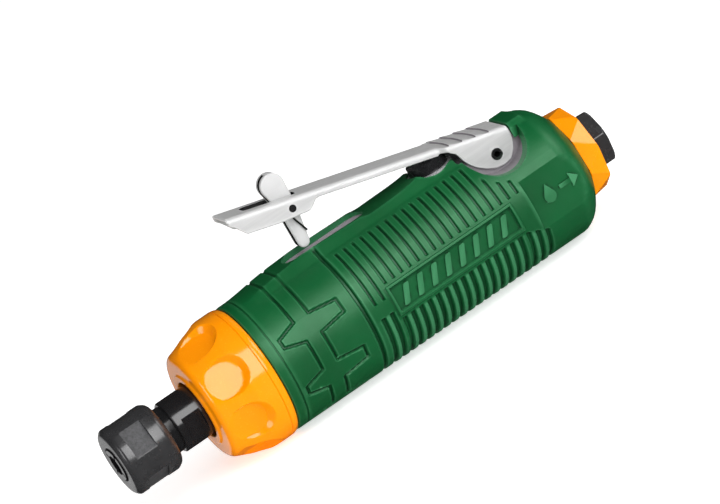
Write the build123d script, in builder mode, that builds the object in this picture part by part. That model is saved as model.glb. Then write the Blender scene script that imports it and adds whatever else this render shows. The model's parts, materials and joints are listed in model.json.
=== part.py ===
from build123d import *
from math import cos, radians, sin
import os

# Straight air die grinder with a safety lever, in millimetres.
# X runs along the spindle, from the collet's mouth at 0 to the air inlet. Z points up to the
# lever, and Y is sideways. Angles round the body start at +Z and grow towards -Y.

# ---- Driving dimensions ----
COLLET_BORE_R = 3.175
COLLET_END = 17.0
COLLET_NOSE_R = 4.9
COLLET_CONE_R = 6.1
COLLET_TAIL_R = 4.75
COLLET_SLIT = 0.8
COLLET_SLIT_DEPTH = 13.0
NUT_FRONT = 0.3
NUT_REAR = 16.5
NUT_R = 10.66
NUT_FACE_R = 9.9
NUT_MOUTH_R = 5.25
NUT_SEAT_R = 6.45
NUT_THREAD_R = 7.2
NUT_FLATS = 4
NUT_FIRST_FLAT = 57
NUT_FLAT = 9.6
NUT_FLAT_FRONT = 4.1
NUT_FLAT_REAR = 11.0
NECK_R = 7.15
SPINDLE_R = 8.06
SPINDLE_SHOULDER = 18.7
SPINDLE_REAR = 38.0
SPINDLE_FLAT = 7.0
SPINDLE_FLAT_SPAN = (21.0, 27.0)
SPINDLE_CHAMFER = 0.3

CAP_FRONT = 28.5
CAP_REAR = 48.5
CAP_HOLE_R = 9.0
SCOOPS = 8
SCOOP_START = 18.9
SCOOP_X = 36.2
SCOOP_R = 5.6
SCOOP_FLOOR_R = 18.0
SCOOP_LEAN = 0.22

SLEEVE_FRONT = 48.7
SLEEVE_REAR = 158.4
SLEEVE_SHOULDER = 151.0
SLEEVE_R = 20.5
SLEEVE_BORE_R = 18.0
SLEEVE_LIP_R = 13.1
PAD_HALF = 4.9
PAD_FOOT_HALF = 9.3
PAD_FOOT_Z = 18.0
PAD_TOP = 22.0
GIRTH_GROOVES = (51.6, 60.0, 65.2, 78.5)
GIRTH_GROOVE = 1.0
RIBS_START = 82.3
RIBS = 19
RIB_PITCH = 2.9
RIB_GROOVE = 0.9
RIB_DEPTH = 0.7
PANEL_SPAN = (87.5, 131.7)
PANEL_HALF = 4.9
PANEL_FLOOR = 19.8
SIDE_FLAT_Y = 18.9
SIDE_FLAT_HALF = 9.0
SIDE_FLAT_FRONT = 137.0
LATCH_SLOT_X = 84.25
LATCH_SLOT = (27.5, 8.7)
VALVE_WELL_R = 7.3
LEVER_WELL = (127.6, 146.0)
LEVER_WELL_HALF = 8.3

HOUSING_R = 17.95
HOUSING_REAR = 156.5
NOSE_R = 16.4
NOSE_FRONT = 36.8
MOTOR_BORE_R = 15.0
MOTOR_BORE_END = 104.0
MOTOR_FIT_R = 14.95

PLATE_FRONT = 45.0
CYLINDER_FRONT = 50.0
CYLINDER_REAR = 92.0
CYLINDER_BORE_R = 11.3
CYLINDER_OFFSET = 1.3
ROTOR_R = 9.7
ROTOR_GAP = 0.15
FRONT_SHAFT_R = 4.0
REAR_SHAFT_R = 3.0
VANES = 4
VANE_THICKNESS = 1.6
VANE_HEIGHT = 5.0
PORT_R = 1.4
INLET_PORT = (9.4, 7.9)
EXHAUST_PORT = (8.0, -8.0)
DOWEL_R = 1.25
DOWEL_Z = 12.6
DOWEL_SPAN = (47.0, 95.0)
BEARING_BALLS = 7
FRONT_BEARING_WIDTH = 7.0
FRONT_BEARING_R = 11.0
FRONT_BALL_R = 1.98
REAR_BEARING_X = 97.0
REAR_BEARING_WIDTH = 6.0
REAR_BEARING_R = 9.5
REAR_BALL_R = 1.75
GASKET_FRONT = REAR_BEARING_X + REAR_BEARING_WIDTH

VALVE_X = 121.5
BUTTON_R = 5.88
BUTTON_BORE_R = 5.95
BUSHING_R = 6.0
BUSHING_HEAD_R = 7.0
BUSHING_SHOULDER = 13.0
BUSHING_TOP = 20.4
RUNNING_GAP = 0.05
SEAT_Z = -1.5
CHAMBER_FLOOR = -13.6
VALVE_HEAD_TOP = SEAT_Z
VALVE_HEAD_FOOT = -4.0
STEM_R = 1.5
STEM_TOP = 17.2
DOME_R = 12.0
DOME_CENTRE_Z = 12.95
AIR_PASSAGE_Z = 5.0

LEVER_PIVOT_X = 138.8
LEVER_PIVOT_Z = 15.05
LEVER_SHEET = 1.2
LEVER_HALF_REAR = 8.0
LEVER_HALF_FRONT = 6.25
LEVER_NOSE = (62.4, 42.8)
LEVER_KNEE = (125.7, 25.6)
LEVER_HEEL = (145.4, 20.5)
TAB_SLOT_X = 75.65
TAB_SLOT = (15.7, 5.2)
BOSS_HALF = 6.65
BOSS_TOP = 18.4
POCKET_R = 10.5
LEVER_PIN_R = 1.7
LEVER_PIN_HALF = 8.3
LEVER_PIN_BORE_R = 0.9

LATCH_PIVOT_X = 79.6
LATCH_PIVOT_Z = 35.0
LATCH_PIN_R = 1.1
LATCH_HALF = 2.1
LATCH_PLATE = 1.0
LATCH_BARREL_R = 2.6
LATCH_FOOT = (78.2, 24.1)
LATCH_FOOT_R = 1.9
LATCH_HEAD = (78.9, 42.5)
LATCH_HEAD_R = 3.6
SPRING_WIRE_R = 0.3
SPRING_COIL_R = 1.6

RING_FRONT = 158.7
RING_REAR = 164.7
RING_FACETS = 8
RING_FRONT_R = 14.0
RING_REAR_R = 13.2
RING_BORE_R = 8.66
RING_SPIGOT = (12.2, 12.8)
RING_VENTS = 12
RING_VENT_R = 0.9
RING_VENT_PITCH_R = 10.8

INLET_REAR = 170.0
INLET_HEX_FRONT = 164.9
INLET_AF = 16.0
INLET_COLLAR_R = 8.6
INLET_SHANK_R = 8.0
INLET_THREAD_R = 5.6
INLET_THREAD_DEPTH = 12.0
INLET_FRONT = 141.0
INLET_SEAL_X = 150.0
SCREEN_SEAT = 146.0


# ---- Shape helpers ----
def turn(*points, mode=Mode.ADD):
    """Revolve a closed outline of (x, radius) points about the spindle axis."""
    with BuildSketch(Plane.XZ) as outline:
        with BuildLine():
            Polyline(*points, close=True)
        make_face()
    revolve(outline.sketch, axis=Axis.X, mode=mode)


def tube(x_start, x_end, r_in, r_out, mode=Mode.ADD):
    """Straight ring about the spindle axis."""
    turn((x_start, r_in), (x_start, r_out), (x_end, r_out), (x_end, r_in), mode=mode)


def bar(x_start, x_end, radius, y=0.0, z=0.0, mode=Mode.SUBTRACT):
    """Round bar, or by default a drilled hole, parallel to the spindle."""
    with BuildSketch(Plane.YZ.offset(x_start)) as mouth:
        with Locations((y, z)):
            Circle(radius)
    extrude(mouth.sketch, amount=x_end - x_start, mode=mode)


def upright(z_start, z_end, radius, x=VALVE_X, mode=Mode.ADD):
    """Round bar along Z, by default on the throttle valve's axis."""
    with BuildSketch(Plane.XY.offset(z_start)) as mouth:
        with Locations((x, 0)):
            Circle(radius)
    extrude(mouth.sketch, amount=z_end - z_start, mode=mode)


def crosswise(points, half_width, mode=Mode.ADD):
    """Extrude a closed (x, z) outline to both sides of the middle plane."""
    with BuildSketch(Plane.XZ) as outline:
        with BuildLine():
            Polyline(*points, close=True)
        make_face()
    extrude(outline.sketch, amount=half_width, both=True, mode=mode)


def cross_pin(x, z, radius, half_width, mode=Mode.ADD):
    """Round pin or hole along Y."""
    with BuildSketch(Plane.XZ) as end:
        with Locations((x, z)):
            Circle(radius)
    extrude(end.sketch, amount=half_width, both=True, mode=mode)


def block(x_start, x_end, y_start, y_end, z_start, z_end, mode=Mode.ADD):
    """Box given by its limits."""
    middle = ((x_start + x_end) / 2, (y_start + y_end) / 2, (z_start + z_end) / 2)
    with Locations(middle):
        Box(x_end - x_start, y_end - y_start, z_end - z_start, mode=mode)


def outward(angle):
    """Unit vector away from the spindle axis at an angle round the body."""
    return Vector(0, -sin(radians(angle)), cos(radians(angle)))


def torus_cut(x, pitch_r, radius):
    """Round groove about the spindle axis, as a ball race or an O-ring seat."""
    with BuildSketch(Plane.XZ) as section:
        with Locations((x, pitch_r)):
            Circle(radius)
    revolve(section.sketch, axis=Axis.X, mode=Mode.SUBTRACT)


def flat_cut(angle, distance, x_start, x_end):
    """Mill a wrench flat at a distance from the spindle axis."""
    away = outward(angle)
    middle = Vector((x_start + x_end) / 2, 0, 0)
    seat = Plane(origin=middle + away * distance, x_dir=(1, 0, 0), z_dir=away)
    with BuildSketch(seat) as patch:
        Rectangle(x_end - x_start, 4 * distance)
    extrude(patch.sketch, amount=distance, mode=Mode.SUBTRACT)


def rod(start, end, radius):
    """Straight length of wire with a ball at each end, so that lengths join smoothly."""
    line = Vector(*end) - Vector(*start)
    with BuildSketch(Plane(origin=start, z_dir=line)) as section:
        Circle(radius)
    extrude(section.sketch, amount=line.length)
    with Locations(start, end):
        Sphere(radius)


# ---- Spindle group ----
with BuildPart() as collet:
    turn((0, COLLET_BORE_R), (0, COLLET_NOSE_R), (1.2, COLLET_NOSE_R), (4.2, COLLET_CONE_R),
         (5.8, COLLET_CONE_R), (COLLET_END, COLLET_TAIL_R), (COLLET_END, COLLET_BORE_R))
    for turned in (45, 135):
        with Locations(Location((COLLET_SLIT_DEPTH / 2, 0, 0), (turned, 0, 0))):
            Box(COLLET_SLIT_DEPTH, 14.0, COLLET_SLIT, mode=Mode.SUBTRACT)

with BuildPart() as collet_nut:
    turn((NUT_FRONT, NUT_MOUTH_R), (NUT_FRONT, NUT_FACE_R), (1.1, NUT_R), (14.6, NUT_R),
         (15.9, NUT_FACE_R), (NUT_REAR, 8.6), (NUT_REAR, NUT_THREAD_R), (6.0, NUT_THREAD_R),
         (6.0, NUT_SEAT_R), (4.1, NUT_SEAT_R), (1.1, NUT_MOUTH_R))
    for step in range(NUT_FLATS):
        flat_cut(NUT_FIRST_FLAT + step * 360 / NUT_FLATS, NUT_FLAT, NUT_FLAT_FRONT, NUT_FLAT_REAR)

with BuildPart() as spindle:
    turn((6.5, 6.05), (6.5, 6.8), (6.9, NECK_R), (SPINDLE_SHOULDER, NECK_R),
         (SPINDLE_SHOULDER, SPINDLE_R - SPINDLE_CHAMFER),
         (SPINDLE_SHOULDER + SPINDLE_CHAMFER, SPINDLE_R),
         (36.0, SPINDLE_R), (36.0, 5.9), (SPINDLE_REAR, 5.9), (SPINDLE_REAR, FRONT_SHAFT_R),
         (24.0, FRONT_SHAFT_R), (22.0, 3.4), (17.2, 3.4), (17.2, 4.78))
    for side in (100, 280):
        flat_cut(side, SPINDLE_FLAT, *SPINDLE_FLAT_SPAN)

with BuildPart() as rotor:
    tube(24.3, CYLINDER_FRONT + ROTOR_GAP, 0, FRONT_SHAFT_R)
    tube(CYLINDER_FRONT + ROTOR_GAP, CYLINDER_REAR - ROTOR_GAP, 0, ROTOR_R)
    tube(CYLINDER_REAR - ROTOR_GAP, 103.6, 0, REAR_SHAFT_R)
    with BuildSketch(Plane.YZ.offset(CYLINDER_FRONT)) as vane_slots:
        with PolarLocations(7.3, VANES, start_angle=45):
            Rectangle(VANE_HEIGHT + 0.4, VANE_THICKNESS + 0.1)
    extrude(vane_slots.sketch, amount=CYLINDER_REAR - CYLINDER_FRONT, mode=Mode.SUBTRACT)

with BuildPart() as vanes:
    with BuildSketch(Plane.YZ.offset(CYLINDER_FRONT + 0.3)):
        with PolarLocations(7.15, VANES, start_angle=45):
            Rectangle(VANE_HEIGHT, VANE_THICKNESS)
    extrude(amount=CYLINDER_REAR - CYLINDER_FRONT - 0.6)


# ---- Ball bearings ----
def ball_bearing(name, x_start, width, bore_r, outer_r, ball_r, count):
    """The four pieces of a deep-groove bearing, by node name."""
    pitch_r = (bore_r + outer_r) / 2
    middle = x_start + width / 2
    race_r = ball_r + 0.05
    land = ball_r * 0.75
    with BuildPart() as outer:
        tube(x_start, x_start + width, pitch_r + land, outer_r)
        torus_cut(middle, pitch_r, race_r)
    with BuildPart() as inner:
        tube(x_start, x_start + width, bore_r, pitch_r - land)
        torus_cut(middle, pitch_r, race_r)
    with BuildPart() as balls:
        with Locations(Plane.YZ.offset(middle)):
            with PolarLocations(pitch_r, count):
                Sphere(ball_r)
    with BuildPart() as cage:
        tube(middle - 1.2 * ball_r, middle + 1.2 * ball_r,
             pitch_r - 0.35 * ball_r, pitch_r + 0.35 * ball_r)
        with Locations(Plane.YZ.offset(middle)):
            with PolarLocations(pitch_r, count):
                Cylinder(race_r, 2 * ball_r, rotation=(0, 90, 0), mode=Mode.SUBTRACT)
    return {f"{name}_bearing_outer": outer, f"{name}_bearing_inner": inner,
            f"{name}_bearing_balls": balls, f"{name}_bearing_cage": cage}


front_bearing = ball_bearing("front", SPINDLE_REAR, FRONT_BEARING_WIDTH, FRONT_SHAFT_R,
                             FRONT_BEARING_R, FRONT_BALL_R, BEARING_BALLS)
rear_bearing = ball_bearing("rear", REAR_BEARING_X, REAR_BEARING_WIDTH, REAR_SHAFT_R,
                            REAR_BEARING_R, REAR_BALL_R, BEARING_BALLS)

# ---- Air motor ----
with BuildPart() as front_plate:
    tube(NOSE_FRONT, CYLINDER_FRONT, 5.0, MOTOR_FIT_R)
    tube(NOSE_FRONT, PLATE_FRONT, 0, FRONT_BEARING_R, mode=Mode.SUBTRACT)
    bar(DOWEL_SPAN[0], CYLINDER_FRONT, DOWEL_R, z=DOWEL_Z)

with BuildPart() as cylinder:
    tube(CYLINDER_FRONT, CYLINDER_REAR, 0, MOTOR_FIT_R)
    bar(CYLINDER_FRONT, CYLINDER_REAR, CYLINDER_BORE_R, z=-CYLINDER_OFFSET)
    bar(CYLINDER_FRONT, CYLINDER_REAR, DOWEL_R, z=DOWEL_Z)
    for side in (1, -1):
        bar(60.0, CYLINDER_REAR, 1.0, y=side * INLET_PORT[0], z=INLET_PORT[1])
        for x in (64.0, 71.0, 78.0):
            with Locations(Location((x, side * 8.2, 6.8), (side * -50, 0, 0))):
                Cylinder(0.8, 4.0, mode=Mode.SUBTRACT)

with BuildPart() as rear_plate:
    tube(CYLINDER_REAR, GASKET_FRONT, 3.4, MOTOR_FIT_R)
    tube(REAR_BEARING_X, GASKET_FRONT, 0, REAR_BEARING_R, mode=Mode.SUBTRACT)
    bar(CYLINDER_REAR, DOWEL_SPAN[1], DOWEL_R, z=DOWEL_Z)
    for side in (1, -1):
        for y, z in (INLET_PORT, EXHAUST_PORT):
            bar(CYLINDER_REAR, GASKET_FRONT, PORT_R, y=side * y, z=z)

with BuildPart() as dowel_pin:
    bar(*DOWEL_SPAN, DOWEL_R, z=DOWEL_Z, mode=Mode.ADD)

with BuildPart() as rear_gasket:
    tube(GASKET_FRONT, MOTOR_BORE_END, REAR_BEARING_R + 0.1, MOTOR_FIT_R - 0.05)
    for side in (1, -1):
        for y, z in (INLET_PORT, EXHAUST_PORT):
            bar(GASKET_FRONT, MOTOR_BORE_END, PORT_R, y=side * y, z=z)

# ---- Housing and what covers it ----
with BuildPart() as housing:
    turn((NOSE_FRONT, 0), (NOSE_FRONT, NOSE_R), (SLEEVE_FRONT, NOSE_R), (SLEEVE_FRONT, HOUSING_R),
         (SLEEVE_SHOULDER, HOUSING_R), (154.5, 16.0), (HOUSING_REAR, 13.0), (HOUSING_REAR, 0))
    block(130.0, LEVER_WELL[1] - 0.1, -BOSS_HALF, BOSS_HALF, 12.0, BOSS_TOP)
    tube(NOSE_FRONT, MOTOR_BORE_END, 0, MOTOR_BORE_R, mode=Mode.SUBTRACT)
    with BuildSketch(Plane.YZ.offset(MOTOR_BORE_END)) as air_chamber:
        Circle(13.8)
        with Locations((0, -12.5)):
            Rectangle(30, 28, mode=Mode.SUBTRACT)
    extrude(air_chamber.sketch, amount=3.0, mode=Mode.SUBTRACT)
    bar(MOTOR_BORE_END, VALVE_X, 2.2, z=AIR_PASSAGE_Z)
    for side in (1, -1):
        bar(MOTOR_BORE_END, HOUSING_REAR, 1.9, y=side * EXHAUST_PORT[0], z=EXHAUST_PORT[1])
        with BuildSketch(Plane.XZ.offset(side * BOSS_HALF)) as pocket:
            with Locations((LEVER_PIVOT_X, LEVER_HEEL[1])):
                Circle(POCKET_R)
        extrude(pocket.sketch, amount=side * 20, mode=Mode.SUBTRACT)
    upright(BUSHING_SHOULDER, PAD_TOP, BUSHING_HEAD_R + RUNNING_GAP, mode=Mode.SUBTRACT)
    upright(SEAT_Z, BUSHING_SHOULDER, BUSHING_R + RUNNING_GAP, mode=Mode.SUBTRACT)
    upright(CHAMBER_FLOOR, SEAT_Z, 4.5, mode=Mode.SUBTRACT)
    bar(VALVE_X, 139.0, 3.0, z=-6.5)
    tube(138.0, HOUSING_REAR, 0, INLET_SHANK_R + RUNNING_GAP, mode=Mode.SUBTRACT)
    cross_pin(LEVER_PIVOT_X, LEVER_PIVOT_Z, LEVER_PIN_R, 10.0, mode=Mode.SUBTRACT)

with BuildPart() as front_cap:
    turn((CAP_FRONT - 0.6, CAP_HOLE_R), (CAP_FRONT - 0.6, 11.0), (CAP_FRONT, 11.6),
         (CAP_FRONT, 15.4), (29.3, 16.5), (34.9, 19.2), (40.5, 20.9), (47.0, 20.8),
         (CAP_REAR, 20.2), (CAP_REAR, 16.45), (NOSE_FRONT, 16.45), (NOSE_FRONT, 10.9),
         (SPINDLE_REAR, 10.9), (SPINDLE_REAR, 9.9), (33.0, 9.9), (33.0, CAP_HOLE_R))
    for step in range(SCOOPS):
        away = outward(SCOOP_START + step * 360 / SCOOPS)
        floor_middle = Vector(SCOOP_X, 0, 0) + away * SCOOP_FLOOR_R
        lean = (away + Vector(-SCOOP_LEAN, 0, 0)).normalized()
        with BuildSketch(Plane(origin=floor_middle, z_dir=lean)) as scoop:
            Circle(SCOOP_R)
        extrude(scoop.sketch, amount=8.0, mode=Mode.SUBTRACT)


def grooved_edge(starts, width):
    """Outline points of square grooves sunk into the sleeve's outer radius."""
    points = []
    for x in starts:
        points += [(x, SLEEVE_R), (x, SLEEVE_R - RIB_DEPTH),
                   (x + width, SLEEVE_R - RIB_DEPTH), (x + width, SLEEVE_R)]
    return points


with BuildPart() as grip_sleeve:
    turn((SLEEVE_FRONT, 0), (SLEEVE_FRONT, SLEEVE_R),
         *grooved_edge(GIRTH_GROOVES, GIRTH_GROOVE),
         *grooved_edge([RIBS_START + RIB_PITCH * n for n in range(RIBS)], RIB_GROOVE),
         (SLEEVE_SHOULDER, SLEEVE_R), (153.0, 19.8), (155.2, 18.3), (SLEEVE_REAR, 13.9),
         (SLEEVE_REAR, 0))
    with BuildSketch(Plane.YZ.offset(50.0)) as pad:
        with BuildLine():
            Polyline((-PAD_FOOT_HALF, 16.0), (-PAD_FOOT_HALF, PAD_FOOT_Z), (-PAD_HALF, PAD_TOP),
                     (PAD_HALF, PAD_TOP), (PAD_FOOT_HALF, PAD_FOOT_Z), (PAD_FOOT_HALF, 16.0),
                     close=True)
        make_face()
    extrude(pad.sketch, amount=SLEEVE_SHOULDER - 52.0)
    crosswise([(49.0, 26), (49.0, 20.8), (66.0, 21.3), (75.0, 21.9), (78.0, 21.9), (95.5, 21.5),
               (98.5, 20.8), (107.0, 21.1), (113.0, 21.4), (116.3, PAD_TOP), (117.3, 20.6),
               (SLEEVE_SHOULDER, 20.6), (SLEEVE_SHOULDER, 26)], 12.0, mode=Mode.SUBTRACT)
    for side in (1, -1):
        block(*PANEL_SPAN, *sorted((side * 17.0, side * PANEL_FLOOR)), -PANEL_HALF, PANEL_HALF)
        block(*PANEL_SPAN, *sorted((side * PANEL_FLOOR, side * 24.0)), -PANEL_HALF, PANEL_HALF,
              mode=Mode.SUBTRACT)
    turn((SLEEVE_FRONT, 0), (SLEEVE_FRONT, SLEEVE_BORE_R), (SLEEVE_SHOULDER, SLEEVE_BORE_R),
         (154.6, 16.05), (156.7, SLEEVE_LIP_R), (SLEEVE_REAR, SLEEVE_LIP_R), (SLEEVE_REAR, 0),
         mode=Mode.SUBTRACT)
    with BuildSketch(Plane.XY.offset(15.0)) as latch_slot:
        with Locations((LATCH_SLOT_X, 0)):
            SlotOverall(*LATCH_SLOT)
    extrude(latch_slot.sketch, amount=10.0, mode=Mode.SUBTRACT)
    upright(15.0, 25.0, VALVE_WELL_R, mode=Mode.SUBTRACT)
    for side in (1, -1):
        with BuildSketch(Plane.XZ.offset(side * LEVER_HALF_REAR)) as pocket_rim:
            with Locations((LEVER_PIVOT_X, LEVER_HEEL[1])):
                Circle(POCKET_R + 0.3)
        extrude(pocket_rim.sketch, amount=side * 20, mode=Mode.SUBTRACT)
    block(*LEVER_WELL, -LEVER_WELL_HALF, LEVER_WELL_HALF, 15.0, 25.0, mode=Mode.SUBTRACT)
    for side in (1, -1):
        block(SIDE_FLAT_FRONT, 160.0, *sorted((side * SIDE_FLAT_Y, side * 24.0)),
              -SIDE_FLAT_HALF, SIDE_FLAT_HALF, mode=Mode.SUBTRACT)

# ---- Throttle valve ----
with BuildPart() as valve_bushing:
    upright(SEAT_Z, BUSHING_SHOULDER, BUSHING_R)
    upright(BUSHING_SHOULDER, BUSHING_TOP, BUSHING_HEAD_R)
    upright(12.0, BUSHING_TOP, BUTTON_BORE_R, mode=Mode.SUBTRACT)
    upright(SEAT_Z, BUSHING_TOP, 1.56, mode=Mode.SUBTRACT)
    upright(0.0, 9.0, 3.5, mode=Mode.SUBTRACT)
    upright(SEAT_Z, 0.0, 2.6, mode=Mode.SUBTRACT)
    for z_start, z_end, root_r in ((3.0, 7.0, 5.2), (9.5, 10.9, 4.9), (0.6, 2.0, 4.9)):
        with BuildSketch(Plane.XY.offset(z_start)) as groove:
            with Locations((VALVE_X, 0)):
                Circle(7.5)
                Circle(root_r, mode=Mode.SUBTRACT)
        extrude(groove.sketch, amount=z_end - z_start, mode=Mode.SUBTRACT)
    bar(VALVE_X - 7.0, VALVE_X + 7.0, 1.6, z=AIR_PASSAGE_Z)
    cross_pin(VALVE_X, AIR_PASSAGE_Z, 1.6, 7.0, mode=Mode.SUBTRACT)

with BuildPart() as bushing_orings:
    for z in (10.2, 1.3):
        with Locations((VALVE_X, 0, z)):
            Torus(5.48, 0.55)

with BuildPart() as throttle_button:
    upright(15.5, 27.0, BUTTON_R)
    with Locations((VALVE_X, 0, DOME_CENTRE_Z)):
        Sphere(DOME_R, mode=Mode.INTERSECT)
    upright(15.0, STEM_TOP, STEM_R, mode=Mode.SUBTRACT)

with BuildPart() as valve_stem:
    upright(VALVE_HEAD_FOOT, VALVE_HEAD_TOP, 3.4)
    upright(VALVE_HEAD_TOP, STEM_TOP, STEM_R)

with BuildPart() as valve_spring:
    with BuildLine() as valve_coil:
        Helix(pitch=1.7, height=8.5, radius=2.6, center=(VALVE_X, 0, -13.1))
    with BuildSketch(Plane(origin=valve_coil.line @ 0, z_dir=valve_coil.line % 0)):
        Circle(0.4)
    sweep(is_frenet=True)

# ---- Lever, latch and their pins ----
with BuildPart() as lever:
    crosswise([LEVER_KNEE, LEVER_HEEL, (145.4, 17.6), (144.7, 15.6), (143.7, 13.5), (142.0, 11.8),
               (139.6, 11.3), (136.9, 11.7), (134.2, 13.2), (131.8, 15.3), (130.0, 17.6),
               (128.9, 21.8), (LEVER_KNEE[0], 23.2)], LEVER_HALF_REAR)
    inner_drop = LEVER_SHEET * 1.033
    crosswise([(120.0, 27.13 - inner_drop), (LEVER_KNEE[0], LEVER_KNEE[1] - inner_drop),
               (150.0, 19.31 - inner_drop), (150.0, 5.0), (120.0, 5.0)],
              LEVER_HALF_REAR - LEVER_SHEET, mode=Mode.SUBTRACT)
    for side in (1, -1):
        with BuildSketch(Plane.XZ.offset(side * (LEVER_HALF_FRONT - LEVER_SHEET))) as flange:
            with BuildLine():
                Polyline(LEVER_NOSE, (64.8, 36.4), (74.2, 33.7), (83.8, 31.9), (87.4, 34.1),
                         (127.0, 23.2), (127.0, 25.26), LEVER_KNEE, close=True)
            make_face()
        extrude(flange.sketch, amount=side * LEVER_SHEET)
    crosswise([LEVER_NOSE, (62.86, LEVER_NOSE[1] - inner_drop),
               (LEVER_KNEE[0], LEVER_KNEE[1] - inner_drop), (127.0, 25.26 - inner_drop),
               (127.0, 25.26), LEVER_KNEE], LEVER_HALF_FRONT)
    with BuildSketch(Plane.XY.offset(34.0)) as tab_slot:
        with Locations((TAB_SLOT_X, 0)):
            SlotOverall(*TAB_SLOT)
    extrude(tab_slot.sketch, amount=12.0, mode=Mode.SUBTRACT)
    cross_pin(LEVER_PIVOT_X, LEVER_PIVOT_Z, LEVER_PIN_R + RUNNING_GAP, 10.0, mode=Mode.SUBTRACT)
    cross_pin(LATCH_PIVOT_X, LATCH_PIVOT_Z, LATCH_PIN_R, 10.0, mode=Mode.SUBTRACT)

with BuildPart() as lever_pin:
    cross_pin(LEVER_PIVOT_X, LEVER_PIVOT_Z, LEVER_PIN_R, LEVER_PIN_HALF)
    cross_pin(LEVER_PIVOT_X, LEVER_PIVOT_Z, LEVER_PIN_BORE_R, LEVER_PIN_HALF, mode=Mode.SUBTRACT)
    block(LEVER_PIVOT_X, LEVER_PIVOT_X + 3.0, -9.0, 9.0, LEVER_PIVOT_Z - 0.3, LEVER_PIVOT_Z + 0.3,
          mode=Mode.SUBTRACT)

with BuildPart() as latch:
    for end, end_r in ((LATCH_FOOT, LATCH_FOOT_R), (LATCH_HEAD, LATCH_HEAD_R)):
        with BuildSketch(Plane.XZ) as link:
            with Locations((LATCH_PIVOT_X, LATCH_PIVOT_Z)):
                Circle(LATCH_BARREL_R)
            with Locations(end):
                Circle(end_r)
            make_hull()
        extrude(link.sketch, amount=LATCH_HALF, both=True)
    block(70.0, 90.0, LATCH_PLATE - LATCH_HALF, LATCH_HALF - LATCH_PLATE, 10.0, 40.6,
          mode=Mode.SUBTRACT)
    cross_pin(LATCH_PIVOT_X, LATCH_PIVOT_Z, LATCH_PIN_R + RUNNING_GAP, 10.0, mode=Mode.SUBTRACT)

with BuildPart() as latch_pin:
    cross_pin(LATCH_PIVOT_X, LATCH_PIVOT_Z, LATCH_PIN_R, LEVER_HALF_FRONT + 0.15)

with BuildPart() as latch_spring:
    with BuildLine() as latch_coil:
        Helix(pitch=0.72, height=1.8, radius=SPRING_COIL_R,
              center=(LATCH_PIVOT_X, -4.75, LATCH_PIVOT_Z), direction=(0, 1, 0))
    with BuildSketch(Plane(origin=latch_coil.line @ 0, z_dir=latch_coil.line % 0)):
        Circle(SPRING_WIRE_R)
    sweep(is_frenet=True)
    low_end = latch_coil.line @ 1
    high_end = latch_coil.line @ 0
    rod((low_end.X, low_end.Y, low_end.Z), (81.1, -2.5, 26.4), SPRING_WIRE_R)
    rod((high_end.X, high_end.Y, high_end.Z), (84.6, -4.6, 34.6), SPRING_WIRE_R)

# ---- Air inlet and exhaust ----
def ring_outline(radius, half_angle):
    """Corner points of the exhaust ring's outline, in pairs round the axis."""
    corners = []
    for step in range(RING_FACETS):
        for angle in (-half_angle, half_angle):
            away = outward(60 + angle + step * 360 / RING_FACETS) * radius
            corners.append((away.Y, away.Z))
    return corners


with BuildPart() as exhaust_ring:
    for x, radius, half_angle in ((RING_FRONT, RING_FRONT_R, 7.5), (RING_REAR, RING_REAR_R, 14.5)):
        with BuildSketch(Plane.YZ.offset(x)):
            with BuildLine():
                Polyline(*ring_outline(radius, half_angle), close=True)
            make_face()
    loft(ruled=True)
    tube(156.8, RING_FRONT, *RING_SPIGOT)
    tube(RING_FRONT, RING_REAR, 0, RING_BORE_R, mode=Mode.SUBTRACT)
    tube(RING_FRONT, 163.2, 9.4, RING_SPIGOT[0], mode=Mode.SUBTRACT)
    with BuildSketch(Plane.YZ.offset(163.0)) as vents:
        with PolarLocations(RING_VENT_PITCH_R, RING_VENTS):
            Circle(RING_VENT_R)
    extrude(vents.sketch, amount=3.0, mode=Mode.SUBTRACT)

with BuildPart() as exhaust_felt:
    tube(158.0, 162.6, 9.45, 12.15)

with BuildPart() as inlet_bushing:
    tube(INLET_FRONT, HOUSING_REAR, 0, INLET_SHANK_R)
    tube(HOUSING_REAR, INLET_HEX_FRONT, 0, INLET_COLLAR_R)
    with BuildSketch(Plane.YZ.offset(INLET_HEX_FRONT)) as hexagon:
        RegularPolygon(INLET_AF / 2, 6, major_radius=False, rotation=44.2)
    extrude(hexagon.sketch, amount=INLET_REAR - INLET_HEX_FRONT)
    turn((INLET_REAR - 0.6, 9.4), (INLET_REAR + 1.0, 9.4), (INLET_REAR + 1.0, 8.3),
         (INLET_REAR, 8.3), mode=Mode.SUBTRACT)
    tube(INLET_REAR - INLET_THREAD_DEPTH, INLET_REAR, 0, INLET_THREAD_R, mode=Mode.SUBTRACT)
    tube(SCREEN_SEAT, INLET_REAR, 0, 4.5, mode=Mode.SUBTRACT)
    tube(INLET_FRONT, SCREEN_SEAT, 0, 6.2, mode=Mode.SUBTRACT)
    torus_cut(INLET_SEAL_X, 7.53, 0.55)

with BuildPart() as inlet_oring:
    with Locations(Location((INLET_SEAL_X, 0, 0), (0, 90, 0))):
        Torus(7.5, 0.5)

with BuildPart() as inlet_screen:
    tube(SCREEN_SEAT - 1.4, SCREEN_SEAT - 0.6, 0, 6.15)
    tube(INLET_FRONT + 0.6, SCREEN_SEAT - 0.6, 5.6, 6.15)
    with BuildSketch(Plane.YZ.offset(144.0)) as mesh_holes:
        with GridLocations(1.6, 1.6, 5, 5):
            Circle(0.55)
    extrude(mesh_holes.sketch, amount=2.0, mode=Mode.SUBTRACT)

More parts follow.
